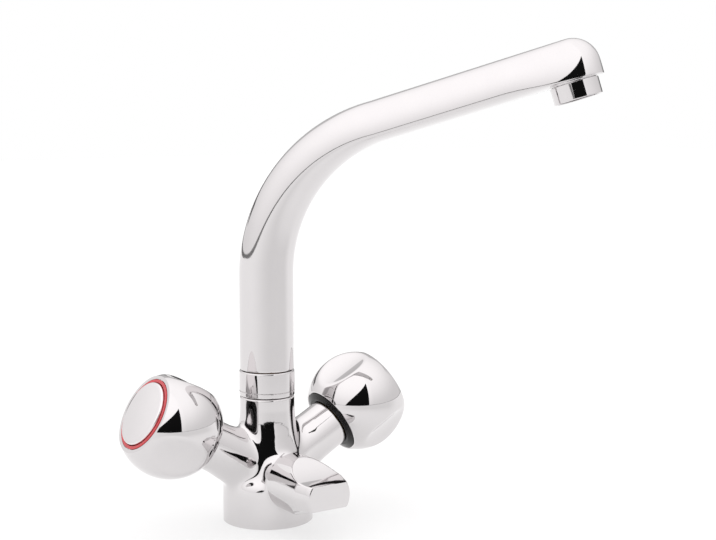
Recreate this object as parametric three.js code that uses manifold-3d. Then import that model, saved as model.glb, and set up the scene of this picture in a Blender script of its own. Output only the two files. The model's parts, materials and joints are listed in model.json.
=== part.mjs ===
// Kitchen mixer with two ball knobs, a high swivel spout and a shut-off valve for an appliance.
// Millimetres, +Z up. The origin is the centre of the base on the sink deck. The front of the
// mixer faces -Y, its hot side -X and its cold side +X.
import * as THREE from 'three';
import { mergeVertices } from 'three/addons/utils/BufferGeometryUtils.js';
import Module from 'manifold-3d';

const wasm = await Module();
wasm.setup();

const rad = THREE.MathUtils.degToRad;

// ---------------------------------------------------------------- clearances and facets
const GAP = 0.3; // between pieces that seat or turn on each other
const OVERRUN = 2; // how far a cutting shape runs past the face it opens
const ROUND_SIDES = 32; // facets round a large turned piece
const SMALL_SIDES = 14; // facets round a small inner piece
const HOLE_SIDES = 8; // facets round a passage or a small hole
const KNOB_SIDES = 33; // facets round a ball knob, a multiple of its scallops
const SCALLOP_SIDES = 48; // facets round the cylinder that cuts a scallop
const FLANK_SIDES = 72; // facets round the cylinder that hollows a handle's flank
const MEDIUM_SIDES = 22; // facets round a bore, bush or cap

// ---------------------------------------------------------------- base, neck and branches
const BASE_RADIUS = 24;
const BASE_SIDE_TOP = 20; // the straight side of the base ends here
const BASE_EDGE = 0.6; // rounding of the bottom edge
const SHOULDER_RADIUS = 6; // rounding where the side turns in to the neck
const SHOULDER_SWEEP = 60; // degrees of that rounding
const CAVITY_RADIUS = 19; // hollow under the base, for the hose ends
const CAVITY_DEPTH = 9;
const SEAL_WIDTH = 1.8; // rubber ring in a rebate of the base's rim
const SEAL_HEIGHT = 1.8;

const NECK_RADIUS = 14.5;
const NECK_TOP = 67; // the collar nut starts here
const NECK_FLARE_TOP = 61; // the neck's foot widens below this height
const NECK_FLARE_EASE = 10; // how slowly the widening starts under that height
const FOOT_FLARE_RISE = 8; // the widening leaves the base's shoulder this high and
const FOOT_FLARE_RUN = 2; // this far in
const THREAD_RADIUS = 12.5; // male thread for the collar nut
const THREAD_LENGTH = 8;
const NECK_BORE = 10.1;
const NECK_BORE_FLOOR = 46;

const BRANCH_ANGLE = 29; // rise of the hot and cold branches above level, degrees
const BRANCH_HEIGHT = 25.5; // where their axes cross the neck's axis
const BRANCH_LENGTH = 44;
const BRANCH_RADIUS = 13.4;
const BRANCH_ROOT_RADIUS = 16.8; // above and below; in front a branch keeps its own radius
// share of a limb's length against the share of its root's extra radius left there
const LIMB_FADE = [[0, 1], [0.25, 1], [0.42, 0.75], [0.55, 0.5], [0.68, 0.22], [0.85, 0]];
const LIMB_EDGE = 0.6; // chamfer of a branch's and the boss's end
const BRANCH_BORE = 10.3;
const BRANCH_BORE_DEPTH = 25;
const BRANCH_BORE_FLOOR = BRANCH_LENGTH - BRANCH_BORE_DEPTH; // distance along the branch

const VALVE_HEIGHT = 25.4; // axis of the front shut-off valve
const VALVE_BOSS_LENGTH = 34;
const VALVE_BOSS_RADIUS = 12;
const VALVE_BOSS_ROOT = 12.1;
const VALVE_BORE = 8.4;
const VALVE_BORE_DEPTH = 18;
const VALVE_BORE_FLOOR = VALVE_BOSS_LENGTH - VALVE_BORE_DEPTH;

// ---------------------------------------------------------------- ports in the base's roof
const PORT_RADIUS = 4.6; // M10 hose end
const PORT_DEPTH = 9;
const INLET_X = 9; // hot at -X, cold at +X
const INLET_Y = 5;
const OUTLET_Y = -12; // appliance outlet, behind the valve
const STUD_RADIUS = 4.1; // M8 clamping stud
const STUD_Y = 12.5;
const STUD_DEPTH = 12;
const FEED_RADIUS = 3; // inlet passages
const MIX_RADIUS = 2.4; // outlet passages
const PASSAGE_START = 2; // a passage starts this far inside its port
const PASSAGE_END = 0.5; // and ends this far inside its bore
const MIX_OUTLET_RISE = 2.5; // the mixing passages end this high in the neck's bore
const MIX_OUTLET_X = 2;
const VALVE_DRAIN_AT = 6; // the valve's drain leaves its bore this far from the floor

// ---------------------------------------------------------------- spout
const SPOUT_TURN = -50; // direction of the spout from the cold side, degrees
const SPOUT_RISE = 17; // slope of the arm
const RISER_TOP = 131.2; // the straight riser ends and the bend starts
const BEND_RADIUS = 84.4;
const OUTLET_REACH = 157; // outlet axis meets the arm's centreline at this reach
const TUBE_RADIUS = 14.3; // riser, and half the arm's width
const ARM_HALF_HEIGHT = 10.6;
const TUBE_WALL = 1.6;
const TIP_REACH = 15.2; // how far the tip runs past the outlet's axis
const TIP_ROUND = 12; // rounding of the top of the arm's tip
const TIP_CLOSE = 0.985; // share of the tip's quarter turn, so that its end face stays flat
const FLATTEN_POWER = 1.4; // how late in the bend the round tube flattens
const KEEL = 0.9; // the arm is widest this share of its half height under its centreline
const NUT_HEIGHT = 13.7;
const NUT_RADIUS = 14.7;
const NUT_LIP = 2.3;
const NUT_EDGE = 0.5;
const INSERT_RADIUS = 9.8;
const INSERT_BORE = 6.5;
const INSERT_SOCKET = 11; // length of the insert inside the riser
const INSERT_FOOT = 3; // space under the insert in the neck's bore
const SLIP_HEIGHT = 1;
const SNAP_HEIGHT = 1.2;
const SNAP_RADIUS = 12.1;
const SNAP_GROOVE = 0.9; // depth of the snap ring's groove
const SNAP_SPLIT = 4; // gap between the snap ring's ends
const O_RING_GROOVE = 1.6; // depth of an O-ring's groove
const O_RING_WIDTH = 2.4;
const O_RING_LOW = 54; // heights of the insert's two O-ring grooves
const O_RING_PITCH = 7;

// ---------------------------------------------------------------- aerator
const AERATOR_RADIUS = 12;
const AERATOR_SHOWN = 8.5; // how far the shell stands out of the mouth
const AERATOR_WALL = 1.2;
const AERATOR_THREAD = 10.8; // male thread inside the mouth
const AERATOR_THREAD_LENGTH = 5;
const MOUTH_RADIUS = 14; // rim of the spout's mouth
const MOUTH_RIM_HEIGHT = 1.2; // over it a narrower neck, inside the arm, carries the thread
const MOUTH_NECK_RADIUS = 13.4;
const MOUTH_NECK_TOP = 4; // this neck ends this far under the arm's centreline
const THROAT_STEP = 2.5; // the throat is this much narrower than the thread
const GASKET_HEIGHT = 0.9;
const AERATOR_EDGE = 0.4;
const AERATOR_GRID_RECESS = 2.5;
const GRID_LIP = 0.5; // ledge between the shell's bore and its insert

// ---------------------------------------------------------------- mixing knobs
// Distances here run along the branch, from where its axis crosses the neck's.
const BUSH_THICKNESS = 2.3; // black bush between the branch and the ball
const BUSH_RADIUS = 18.2;
const BUSH_FOOT = 15;
const BUSH_SPIGOT = 17;
const BUSH_SPIGOT_LENGTH = 3.3;
const BUSH_LIP = 1;
const BUSH_REAR = BRANCH_LENGTH + 2 * GAP;
const KNOB_RADIUS = 27.2;
const KNOB_REAR = BUSH_REAR + BUSH_THICKNESS + GAP;
const KNOB_REAR_HALF = 17.8; // length of the ball behind its centre
const KNOB_FRONT_HALF = 17;
const KNOB_CENTRE = KNOB_REAR + KNOB_REAR_HALF;
const KNOB_FACE = KNOB_CENTRE + KNOB_FRONT_HALF;
const SCALLOPS = 3;
const SCALLOP_DEPTH = 4.4;
const SCALLOP_RADIUS = 36;
const HOT_KNOB_TURN = -2; // where the knobs stand in the photograph, degrees
const COLD_KNOB_TURN = 68;
const KNOB_CAVITY = 20.5;
const KNOB_WEB_THICKNESS = 4; // the web that carries the hub
const KNOB_WEB_HIGH = KNOB_CENTRE - KNOB_WEB_THICKNESS;
const KNOB_WEB_LOW = KNOB_WEB_HIGH - KNOB_WEB_THICKNESS;
const HUB_RADIUS = 7.5;
const HUB_HEIGHT = 10;
const HUB_TOP = KNOB_WEB_HIGH + HUB_HEIGHT;
const REAR_POCKET = 14;
const CAP_SEAT_DEPTH = 3.2; // seat of the index ring and cap under the knob's face
const CAP_LEDGE = KNOB_FACE - CAP_SEAT_DEPTH;
const CAP_LEDGE_BORE = 16.6;
const LEDGE_TAPER = 4; // the cavity narrows to the cap's ledge over this length
const CAP_RECESS = 19.2;
const INDEX_RING_WIDTH = 1.7;
const INDEX_PROUD = 0.4; // the ring stands out of the knob's face by this and
const CAP_PROUD = 1.6; // the cap's edge by this
const CAP_DOME = 0.8;
const CAP_EDGE = 0.8;
const CAP_SKIRT = 1.8; // wall of the cap's skirt
const CAP_SKIRT_HEIGHT = 2;

// ---------------------------------------------------------------- headworks
const FLANGE_RADIUS = 12.2;
const FLANGE_HEIGHT = 2.7;
const CARTRIDGE_NECK = 8;
const CARTRIDGE_NECK_LENGTH = 11;
const CARTRIDGE_TOP = BRANCH_LENGTH + CARTRIDGE_NECK_LENGTH;
const CHAMBER_RADIUS = 8;
const CARTRIDGE_WALL = 1.1;
const NOSE_RADIUS = 5.8;
const NOSE_HEIGHT = 1.7;
const NOSE_FLOOR = 1.8; // wall between the nose and the disc chamber
const SEAT_HEIGHT = 1.5;
const WINDOW_WIDTH = 6;
const WINDOW_HEIGHT = 3;
const WINDOW_MARGIN = 1; // solid below and above a cartridge's window
const STEM_RADIUS = 4.2;
const STEM_GROOVE = 1.3; // depth of the stem's O-ring groove
const STEM_GROOVE_AT = 3; // distance of that groove under the bore's mouth
const DISC_HEIGHT = 2.5;
const DISC_PORT = 2;
const DISC_PORT_AT = 0.52; // share of the disc's radius at which its ports lie
const DISC_PLAY = 0.4; // room above the moving disc
const GUIDE_STEP = 1.6; // the stem's driver is this much smaller than the chamber
const SEAT_MARGIN = 0.5; // a seat seal's bore is wider than its passage by this
const SCREW_HEAD_RADIUS = 6;
const SCREW_HEAD_HEIGHT = 2.6;
const SCREW_HEAD_CHAMFER = 1;
const SCREW_HEAD_SLOPE = 2;
const SCREW_RADIUS = 1.6;
const SCREW_LENGTH = 11;

// ---------------------------------------------------------------- front valve
// Distances here run along the valve, from the neck's axis.
const VALVE_CHAMBER = 6.2;
const VALVE_WALL = 1;
const VALVE_NOSE = 4.6;
const VALVE_NOSE_HEIGHT = 1.2;
const VALVE_NOSE_FLOOR = 1.2;
const VALVE_WINDOW_WIDTH = 5;
const VALVE_WINDOW_HEIGHT = 2.5;
const VALVE_DISC_HEIGHT = 2;
const VALVE_DISC_PORT = 1.5;
const VALVE_FLANGE = 10.5;
const VALVE_FLANGE_HEIGHT = 2.2;
const VALVE_NECK = 5.6;
const VALVE_NECK_LENGTH = 11;
const VALVE_NECK_TOP = VALVE_BOSS_LENGTH + VALVE_NECK_LENGTH;
const VALVE_STEM = 3;
const VALVE_STEM_LENGTH = 12; // length of the stem in the handle's socket
const VALVE_STEM_TOP = VALVE_NECK_TOP + VALVE_STEM_LENGTH;
const HANDLE_HOOD = 9; // the handle's rear runs this far back over the boss
const HANDLE_REAR = VALVE_BOSS_LENGTH - HANDLE_HOOD;
const HANDLE_FRONT_WALL = 5;
const HANDLE_FACE = VALVE_STEM_TOP + HANDLE_FRONT_WALL;
const HANDLE_RADIUS = 15;
const HANDLE_BEVEL = 10; // length of the cone in front of the cylinder
const HANDLE_FACE_RADIUS = 12.4;
const HANDLE_FACE_HEIGHT = 12.8;
const HANDLE_EDGE = 1.2;
const FLANK_RADIUS = 44; // hollow flanks above and below the grip
const HANDLE_PLAY = 0.4; // room between the hood and the boss
const HANDLE_POCKET = VALVE_BOSS_RADIUS + HANDLE_PLAY;
const HANDLE_POCKET_END = VALVE_BOSS_LENGTH + 3 * GAP;
const SET_SCREW_DEPTH = 4; // under the end of the stem
const SET_SCREW_AT = VALVE_STEM_TOP - SET_SCREW_DEPTH;

// ================================================================ shapes
// A closed profile of [radius, height] points, turned round the local Z axis.
function turned(profile, sides = ROUND_SIDES) {
  const points = profile.map(([radius, height]) => new THREE.Vector2(radius, height));
  return new THREE.LatheGeometry(points, sides).rotateX(Math.PI / 2);
}

function rod(radius, low, high, sides = SMALL_SIDES) {
  return turned([[0, low], [radius, low], [radius, high], [0, high]], sides);
}

function ring(inner, outer, low, high, sides = SMALL_SIDES) {
  const profile = [[inner, low], [outer, low], [outer, high], [inner, high], [inner, low]];
  return turned(profile, sides);
}

// Points of an arc in a profile, from one angle to another in degrees.
function arc(centreRadius, centreHeight, radius, from, to, steps) {
  const points = [];
  for (let i = 0; i <= steps; i++) {
    const angle = rad(from + ((to - from) * i) / steps);
    points.push([centreRadius + radius * Math.cos(angle), centreHeight + radius * Math.sin(angle)]);
  }
  return points;
}

// A rubber ring of round section, turned as a polygon.
function rubberRing(inner, outer, height, sides = SMALL_SIDES) {
  const section = (outer - inner) / 2;
  return turned(arc(inner + section, height, section, 0, 360, 6), sides);
}

// A straight round passage between two points.
function passage(from, to, radius) {
  const start = new THREE.Vector3(...from);
  const end = new THREE.Vector3(...to);
  const along = end.clone().sub(start);
  const turn = new THREE.Quaternion().setFromUnitVectors(
    new THREE.Vector3(0, 0, 1),
    along.clone().normalize(),
  );
  const matrix = new THREE.Matrix4().compose(start, turn, new THREE.Vector3(1, 1, 1));
  return rod(radius, 0, along.length(), HOLE_SIDES).applyMatrix4(matrix);
}

function block(width, depth, height, x, y, z) {
  return new THREE.BoxGeometry(width, depth, height).translate(x, y, z);
}

// A closed skin over rings of points that have the same count, capped flat at both ends.
function lofted(rings) {
  const count = rings[0].length;
  const points = rings.flat();
  const index = [];
  for (let r = 0; r + 1 < rings.length; r++) {
    for (let i = 0; i < count; i++) {
      const a = r * count + i;
      const b = r * count + ((i + 1) % count);
      index.push(a, b, b + count, a, b + count, a + count);
    }
  }
  for (let i = 1; i + 1 < count; i++) {
    const last = (rings.length - 1) * count;
    index.push(0, i + 1, i, last, last + i, last + i + 1);
  }
  const geometry = new THREE.BufferGeometry().setFromPoints(points);
  geometry.setIndex(index);
  return geometry;
}

// ================================================================ joining and cutting
function solid(geometry) {
  const bare = geometry.clone();
  bare.deleteAttribute('normal');
  bare.deleteAttribute('uv');
  const merged = mergeVertices(bare);
  const corners = merged.index.array;
  const triVerts = [];
  for (let i = 0; i < corners.length; i += 3) {
    const [a, b, c] = [corners[i], corners[i + 1], corners[i + 2]];
    if (a !== b && b !== c && c !== a) triVerts.push(a, b, c);
  }
  return new wasm.Manifold(new wasm.Mesh({
    numProp: 3,
    vertProperties: merged.attributes.position.array,
    triVerts: new Uint32Array(triVerts),
  }));
}

function geometryOf(manifold) {
  const mesh = manifold.getMesh();
  const geometry = new THREE.BufferGeometry();
  geometry.setAttribute('position', new THREE.BufferAttribute(mesh.vertProperties, 3));
  geometry.setIndex(new THREE.BufferAttribute(mesh.triVerts, 1));
  return geometry;
}

function joined(...shapes) {
  return geometryOf(shapes.map(solid).reduce((whole, shape) => whole.add(shape)));
}

function cut(shape, ...tools) {
  return geometryOf(tools.reduce((left, tool) => left.subtract(solid(tool)), solid(shape)));
}

// ================================================================ finishes
const FINISHES = {
  chrome: { color: 0xdcdcdf, roughness: 0.06, metalness: 1 },
  brass: { color: 0xc9a45a, roughness: 0.35, metalness: 1 },
  steel: { color: 0xb4b7ba, roughness: 0.3, metalness: 1 },
  rubber: { color: 0x1b1b1c, roughness: 0.8, metalness: 0 },
  black: { color: 0x141414, roughness: 0.55, metalness: 0 },
  ceramic: { color: 0xf0efe9, roughness: 0.25, metalness: 0 },
  nylon: { color: 0xe6e4dc, roughness: 0.5, metalness: 0 },
  red: { color: 0xc43a41, roughness: 0.35, metalness: 0 },
  blue: { color: 0x2f5fb3, roughness: 0.35, metalness: 0 },
};

function piece(group, name, finish, geometry) {
  const flat = geometry.index ? geometry : mergeVertices(geometry);
  const mesh = new THREE.Mesh(flat, new THREE.MeshStandardMaterial(FINISHES[finish]));
  mesh.name = name;
  group.add(mesh);
}

// ================================================================ frames
const faucet = new THREE.Group();

// Along a branch, local +Z runs out to the knob.
function branchFrame(side) {
  const group = new THREE.Group();
  group.position.z = BRANCH_HEIGHT;
  group.rotation.y = side * rad(90 - BRANCH_ANGLE);
  faucet.add(group);
  group.updateMatrixWorld(true);
  return group;
}
const hotBranch = branchFrame(-1);
const coldBranch = branchFrame(1);

// Along the front valve, local +Z runs out to its handle.
const valve = new THREE.Group();
valve.position.z = VALVE_HEIGHT;
valve.rotation.x = rad(90);
faucet.add(valve);
valve.updateMatrixWorld(true);

// In the spout's frame, local +X points along its reach.
const spout = new THREE.Group();
spout.rotation.z = rad(SPOUT_TURN);
faucet.add(spout);

// At the outlet, local +X runs along the arm and local -Z out of the mouth.
const bendEndReach = BEND_RADIUS * (1 - Math.sin(rad(SPOUT_RISE)));
const bendEndHeight = RISER_TOP + BEND_RADIUS * Math.cos(rad(SPOUT_RISE));
const outlet = new THREE.Group();
outlet.position.x = OUTLET_REACH;
outlet.position.z = bendEndHeight + (OUTLET_REACH - bendEndReach) * Math.tan(rad(SPOUT_RISE));
outlet.rotation.y = -rad(SPOUT_RISE);
spout.add(outlet);
outlet.updateMatrix();

// ================================================================ the body casting
function bodyShape() {
  const turnIn = BASE_RADIUS - SHOULDER_RADIUS;
  const shoulder = arc(turnIn, BASE_SIDE_TOP, SHOULDER_RADIUS, 0, SHOULDER_SWEEP, 3);
  const [footRadius, footHeight] = shoulder.at(-1);
  const flare = new THREE.CubicBezierCurve(
    new THREE.Vector2(footRadius, footHeight),
    new THREE.Vector2(footRadius - FOOT_FLARE_RUN, footHeight + FOOT_FLARE_RISE),
    new THREE.Vector2(NECK_RADIUS, NECK_FLARE_TOP - NECK_FLARE_EASE),
    new THREE.Vector2(NECK_RADIUS, NECK_FLARE_TOP),
  ).getPoints(5).slice(1).map((point) => [point.x, point.y]);
  const trunk = turned([
    [0, 0],
    ...arc(BASE_RADIUS - BASE_EDGE, BASE_EDGE, BASE_EDGE, -90, 0, 2),
    ...shoulder,
    ...flare,
    [NECK_RADIUS, NECK_TOP],
    [THREAD_RADIUS, NECK_TOP],
    [THREAD_RADIUS, NECK_TOP + THREAD_LENGTH],
    [0, NECK_TOP + THREAD_LENGTH],
  ]);
  // the root's extra radius fades out along the limb, as a cast fillet does
  const limb = (length, radius, root) => turned([
    [0, 0],
    ...LIMB_FADE.map(([along, extra]) => [radius + (root - radius) * extra, length * along]),
    ...arc(radius - LIMB_EDGE, length - LIMB_EDGE, LIMB_EDGE, 0, 90, 1),
    [0, length],
  ]);
  const branch = () => {
    const geometry = limb(BRANCH_LENGTH, BRANCH_RADIUS, BRANCH_ROOT_RADIUS);
    const points = geometry.attributes.position;
    for (let i = 0; i < points.count; i++) {
      points.setY(i, THREE.MathUtils.clamp(points.getY(i), -BRANCH_RADIUS, BRANCH_RADIUS));
    }
    return geometry;
  };
  const boss = limb(VALVE_BOSS_LENGTH, VALVE_BOSS_RADIUS, VALVE_BOSS_ROOT);
  const outside = joined(
    trunk,
    branch().applyMatrix4(hotBranch.matrix),
    branch().applyMatrix4(coldBranch.matrix),
    boss.applyMatrix4(valve.matrix),
  );

  // hollow under the base, its rim rebate, the stud's hole and the three hose ports
  const rebate = CAVITY_RADIUS + SEAL_WIDTH + GAP;
  const hollows = [
    rod(CAVITY_RADIUS, -OVERRUN, CAVITY_DEPTH, ROUND_SIDES),
    rod(rebate, -OVERRUN, SEAL_HEIGHT + GAP, ROUND_SIDES),
    rod(STUD_RADIUS, CAVITY_DEPTH - OVERRUN, CAVITY_DEPTH + STUD_DEPTH).translate(0, STUD_Y, 0),
  ];
  for (const [x, y] of [[-INLET_X, INLET_Y], [INLET_X, INLET_Y], [0, OUTLET_Y]]) {
    const low = CAVITY_DEPTH - OVERRUN;
    hollows.push(rod(PORT_RADIUS, low, CAVITY_DEPTH + PORT_DEPTH).translate(x, y, 0));
  }

  // bores for the spout's insert, the headworks and the valve
  const neckTop = NECK_TOP + THREAD_LENGTH + OVERRUN;
  hollows.push(rod(NECK_BORE, NECK_BORE_FLOOR, neckTop, ROUND_SIDES));
  const branchBore = () => rod(BRANCH_BORE, BRANCH_BORE_FLOOR, BRANCH_LENGTH + OVERRUN, MEDIUM_SIDES);
  hollows.push(branchBore().applyMatrix4(hotBranch.matrix));
  hollows.push(branchBore().applyMatrix4(coldBranch.matrix));
  const valveBore = rod(VALVE_BORE, VALVE_BORE_FLOOR, VALVE_BOSS_LENGTH + OVERRUN, MEDIUM_SIDES);
  hollows.push(valveBore.applyMatrix4(valve.matrix));

  // water ways: port to branch, branch to neck, cold port to valve, valve to appliance outlet
  const portTop = CAVITY_DEPTH + PORT_DEPTH - PASSAGE_START;
  for (const [side, frame] of [[-1, hotBranch], [1, coldBranch]]) {
    const seat = new THREE.Vector3(0, 0, BRANCH_BORE_FLOOR + PASSAGE_END).applyMatrix4(frame.matrix);
    hollows.push(passage([side * INLET_X, INLET_Y, portTop], seat.toArray(), FEED_RADIUS));
    const upperSide = side * (MIX_RADIUS - BRANCH_BORE);
    const mix = new THREE.Vector3(upperSide, 0, BRANCH_BORE_FLOOR + MIX_RADIUS);
    mix.applyMatrix4(frame.matrix);
    const neck = [side * MIX_OUTLET_X, 0, NECK_BORE_FLOOR + MIX_OUTLET_RISE];
    hollows.push(passage(mix.toArray(), neck, MIX_RADIUS));
  }
  const valveSeat = [0, -(VALVE_BORE_FLOOR + PASSAGE_END), VALVE_HEIGHT];
  hollows.push(passage([INLET_X, INLET_Y, portTop], valveSeat, MIX_RADIUS));
  const drain = [0, -(VALVE_BORE_FLOOR + VALVE_DRAIN_AT), VALVE_HEIGHT - VALVE_BORE + MIX_RADIUS];
  hollows.push(passage([0, OUTLET_Y, portTop], drain, MIX_RADIUS));
  return cut(outside, ...hollows);
}

piece(faucet, 'faucet_body', 'chrome', bodyShape());
piece(faucet, 'base_seal', 'rubber',
  ring(CAVITY_RADIUS, CAVITY_RADIUS + SEAL_WIDTH, 0, SEAL_HEIGHT, ROUND_SIDES));

// ================================================================ headworks in a bore
// One ceramic headwork: seat seal, housing, fixed disc, moving disc, stem and stem seal.
// "floor" is the bore's floor and "mouth" the end face that the flange seats on.
function headwork(group, prefix, kind) {
  const sealTop = kind.floor + GAP + SEAT_HEIGHT;
  const nose = sealTop + GAP;
  const chamberLow = nose + kind.noseHeight + kind.floorWall;
  const fixedLow = chamberLow + GAP;
  const movingLow = fixedLow + kind.discHeight + GAP;
  const stemLow = movingLow + kind.discHeight + GAP;
  const windowLow = stemLow + WINDOW_MARGIN;
  const windowHigh = windowLow + kind.windowHeight;
  const stepHigh = windowHigh + WINDOW_MARGIN;
  const flangeLow = kind.mouth + GAP;
  const flangeHigh = flangeLow + kind.flangeHeight;
  const inner = kind.chamber - GUIDE_STEP;
  const bodyRadius = kind.chamber + kind.wall;
  const stemBore = kind.stem + GAP;
  const housing = turned([
    [kind.inlet, nose],
    [kind.noseRadius, nose],
    [kind.noseRadius, nose + kind.noseHeight],
    [bodyRadius, nose + kind.noseHeight],
    [bodyRadius, stepHigh],
    [kind.bore - GAP, stepHigh],
    [kind.bore - GAP, flangeLow],
    [kind.flange, flangeLow],
    [kind.flange, flangeHigh],
    [kind.neck, flangeHigh],
    [kind.neck, kind.top],
    [stemBore, kind.top],
    [stemBore, stepHigh + WINDOW_MARGIN],
    [inner, stepHigh],
    [inner, stemLow + DISC_PLAY],
    [kind.chamber, stemLow + DISC_PLAY],
    [kind.chamber, chamberLow],
    [kind.inlet, chamberLow],
    [kind.inlet, nose],
  ], SMALL_SIDES);
  const middle = (windowLow + windowHigh) / 2;
  const window = block(kind.bore * 3, kind.windowWidth, kind.windowHeight, 0, 0, middle);
  piece(group, `${prefix}_cartridge`, 'brass', cut(housing, window));
  piece(group, `${prefix}_seat_seal`, 'rubber',
    ring(kind.inlet, kind.noseRadius, kind.floor + GAP, sealTop));

  const discRadius = kind.chamber - GAP;
  const disc = (low, turn) => {
    const high = low + kind.discHeight;
    const ports = [-1, 1].map((side) => rod(kind.discPort, low - OVERRUN, high + OVERRUN, HOLE_SIDES)
      .translate(side * discRadius * DISC_PORT_AT, 0, 0).rotateZ(turn));
    return cut(rod(discRadius, low, high), ...ports);
  };
  piece(group, `${prefix}_fixed_disc`, 'ceramic', disc(fixedLow, 0));
  piece(group, `${prefix}_moving_disc`, 'ceramic', disc(movingLow, Math.PI / 2));

  const grooveLow = kind.mouth - STEM_GROOVE_AT;
  const grooveHigh = grooveLow + O_RING_WIDTH;
  const grooveRadius = kind.stem - STEM_GROOVE;
  const shaft = turned([
    [0, stemLow],
    [inner - GAP, stemLow],
    [inner - GAP, windowHigh],
    [kind.stem, windowHigh],
    [kind.stem, grooveLow],
    [grooveRadius, grooveLow],
    [grooveRadius, grooveHigh],
    [kind.stem, grooveHigh],
    [kind.stem, kind.stemTop],
    [0, kind.stemTop],
  ], SMALL_SIDES);
  const holeLow = kind.stemTop - kind.holeDepth;
  const hole = rod(SCREW_RADIUS + GAP, holeLow, kind.stemTop + OVERRUN, HOLE_SIDES);
  piece(group, `${prefix}_spindle`, 'brass', kind.holeDepth > 0 ? cut(shaft, hole) : shaft);
  piece(group, `${prefix}_stem_o_ring`, 'rubber',
    rubberRing(grooveRadius + GAP / 2, stemBore - GAP / 2, (grooveLow + grooveHigh) / 2));
}

const branchHeadwork = {
  floor: BRANCH_BORE_FLOOR,
  mouth: BRANCH_LENGTH,
  bore: BRANCH_BORE,
  inlet: FEED_RADIUS + SEAT_MARGIN,
  noseRadius: NOSE_RADIUS,
  noseHeight: NOSE_HEIGHT,
  floorWall: NOSE_FLOOR,
  chamber: CHAMBER_RADIUS,
  wall: CARTRIDGE_WALL,
  flange: FLANGE_RADIUS,
  flangeHeight: FLANGE_HEIGHT,
  neck: CARTRIDGE_NECK,
  top: CARTRIDGE_TOP,
  stem: STEM_RADIUS,
  stemTop: HUB_TOP - GAP,
  windowWidth: WINDOW_WIDTH,
  windowHeight: WINDOW_HEIGHT,
  discHeight: DISC_HEIGHT,
  discPort: DISC_PORT,
  holeDepth: SCREW_LENGTH + 2 * GAP,
};

const valveHeadwork = {
  floor: VALVE_BORE_FLOOR,
  mouth: VALVE_BOSS_LENGTH,
  bore: VALVE_BORE,
  inlet: MIX_RADIUS + SEAT_MARGIN,
  noseRadius: VALVE_NOSE,
  noseHeight: VALVE_NOSE_HEIGHT,
  floorWall: VALVE_NOSE_FLOOR,
  chamber: VALVE_CHAMBER,
  wall: VALVE_WALL,
  flange: VALVE_FLANGE,
  flangeHeight: VALVE_FLANGE_HEIGHT,
  neck: VALVE_NECK,
  top: VALVE_NECK_TOP,
  stem: VALVE_STEM,
  stemTop: VALVE_STEM_TOP,
  windowWidth: VALVE_WINDOW_WIDTH,
  windowHeight: VALVE_WINDOW_HEIGHT,
  discHeight: VALVE_DISC_HEIGHT,
  discPort: VALVE_DISC_PORT,
  holeDepth: 0,
};

// ================================================================ a mixing knob
function knobShape(turn) {
  const openAngle = THREE.MathUtils.radToDeg(Math.asin((KNOB_FACE - KNOB_CENTRE) / KNOB_RADIUS));
  const rearAngle = THREE.MathUtils.radToDeg(Math.asin((KNOB_REAR - KNOB_CENTRE) / KNOB_RADIUS));
  const pocket = BUSH_SPIGOT + GAP;
  const pocketTop = KNOB_REAR + BUSH_SPIGOT_LENGTH;
  const hubBore = STEM_RADIUS + GAP;
  const ball = turned([
    [pocket, KNOB_REAR],
    ...arc(0, KNOB_CENTRE, KNOB_RADIUS, rearAngle, openAngle, 9),
    [CAP_RECESS, KNOB_FACE],
    [CAP_RECESS, CAP_LEDGE],
    [CAP_LEDGE_BORE, CAP_LEDGE],
    [KNOB_CAVITY, CAP_LEDGE - LEDGE_TAPER],
    [KNOB_CAVITY, KNOB_WEB_HIGH],
    [HUB_RADIUS, KNOB_WEB_HIGH],
    [HUB_RADIUS, HUB_TOP],
    [hubBore, HUB_TOP],
    [hubBore, KNOB_WEB_LOW],
    [REAR_POCKET, KNOB_WEB_LOW],
    [REAR_POCKET, pocketTop],
    [pocket, pocketTop],
    [pocket, KNOB_REAR],
  ], KNOB_SIDES);
  const tools = [];
  for (let i = 0; i < SCALLOPS; i++) {
    const reach = KNOB_RADIUS - SCALLOP_DEPTH + SCALLOP_RADIUS;
    const tool = rod(SCALLOP_RADIUS, KNOB_REAR - OVERRUN, KNOB_FACE + OVERRUN, SCALLOP_SIDES);
    tools.push(tool.translate(reach, 0, 0).rotateZ(rad(turn) + (i * 2 * Math.PI) / SCALLOPS));
  }
  return cut(ball, ...tools);
}

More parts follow.
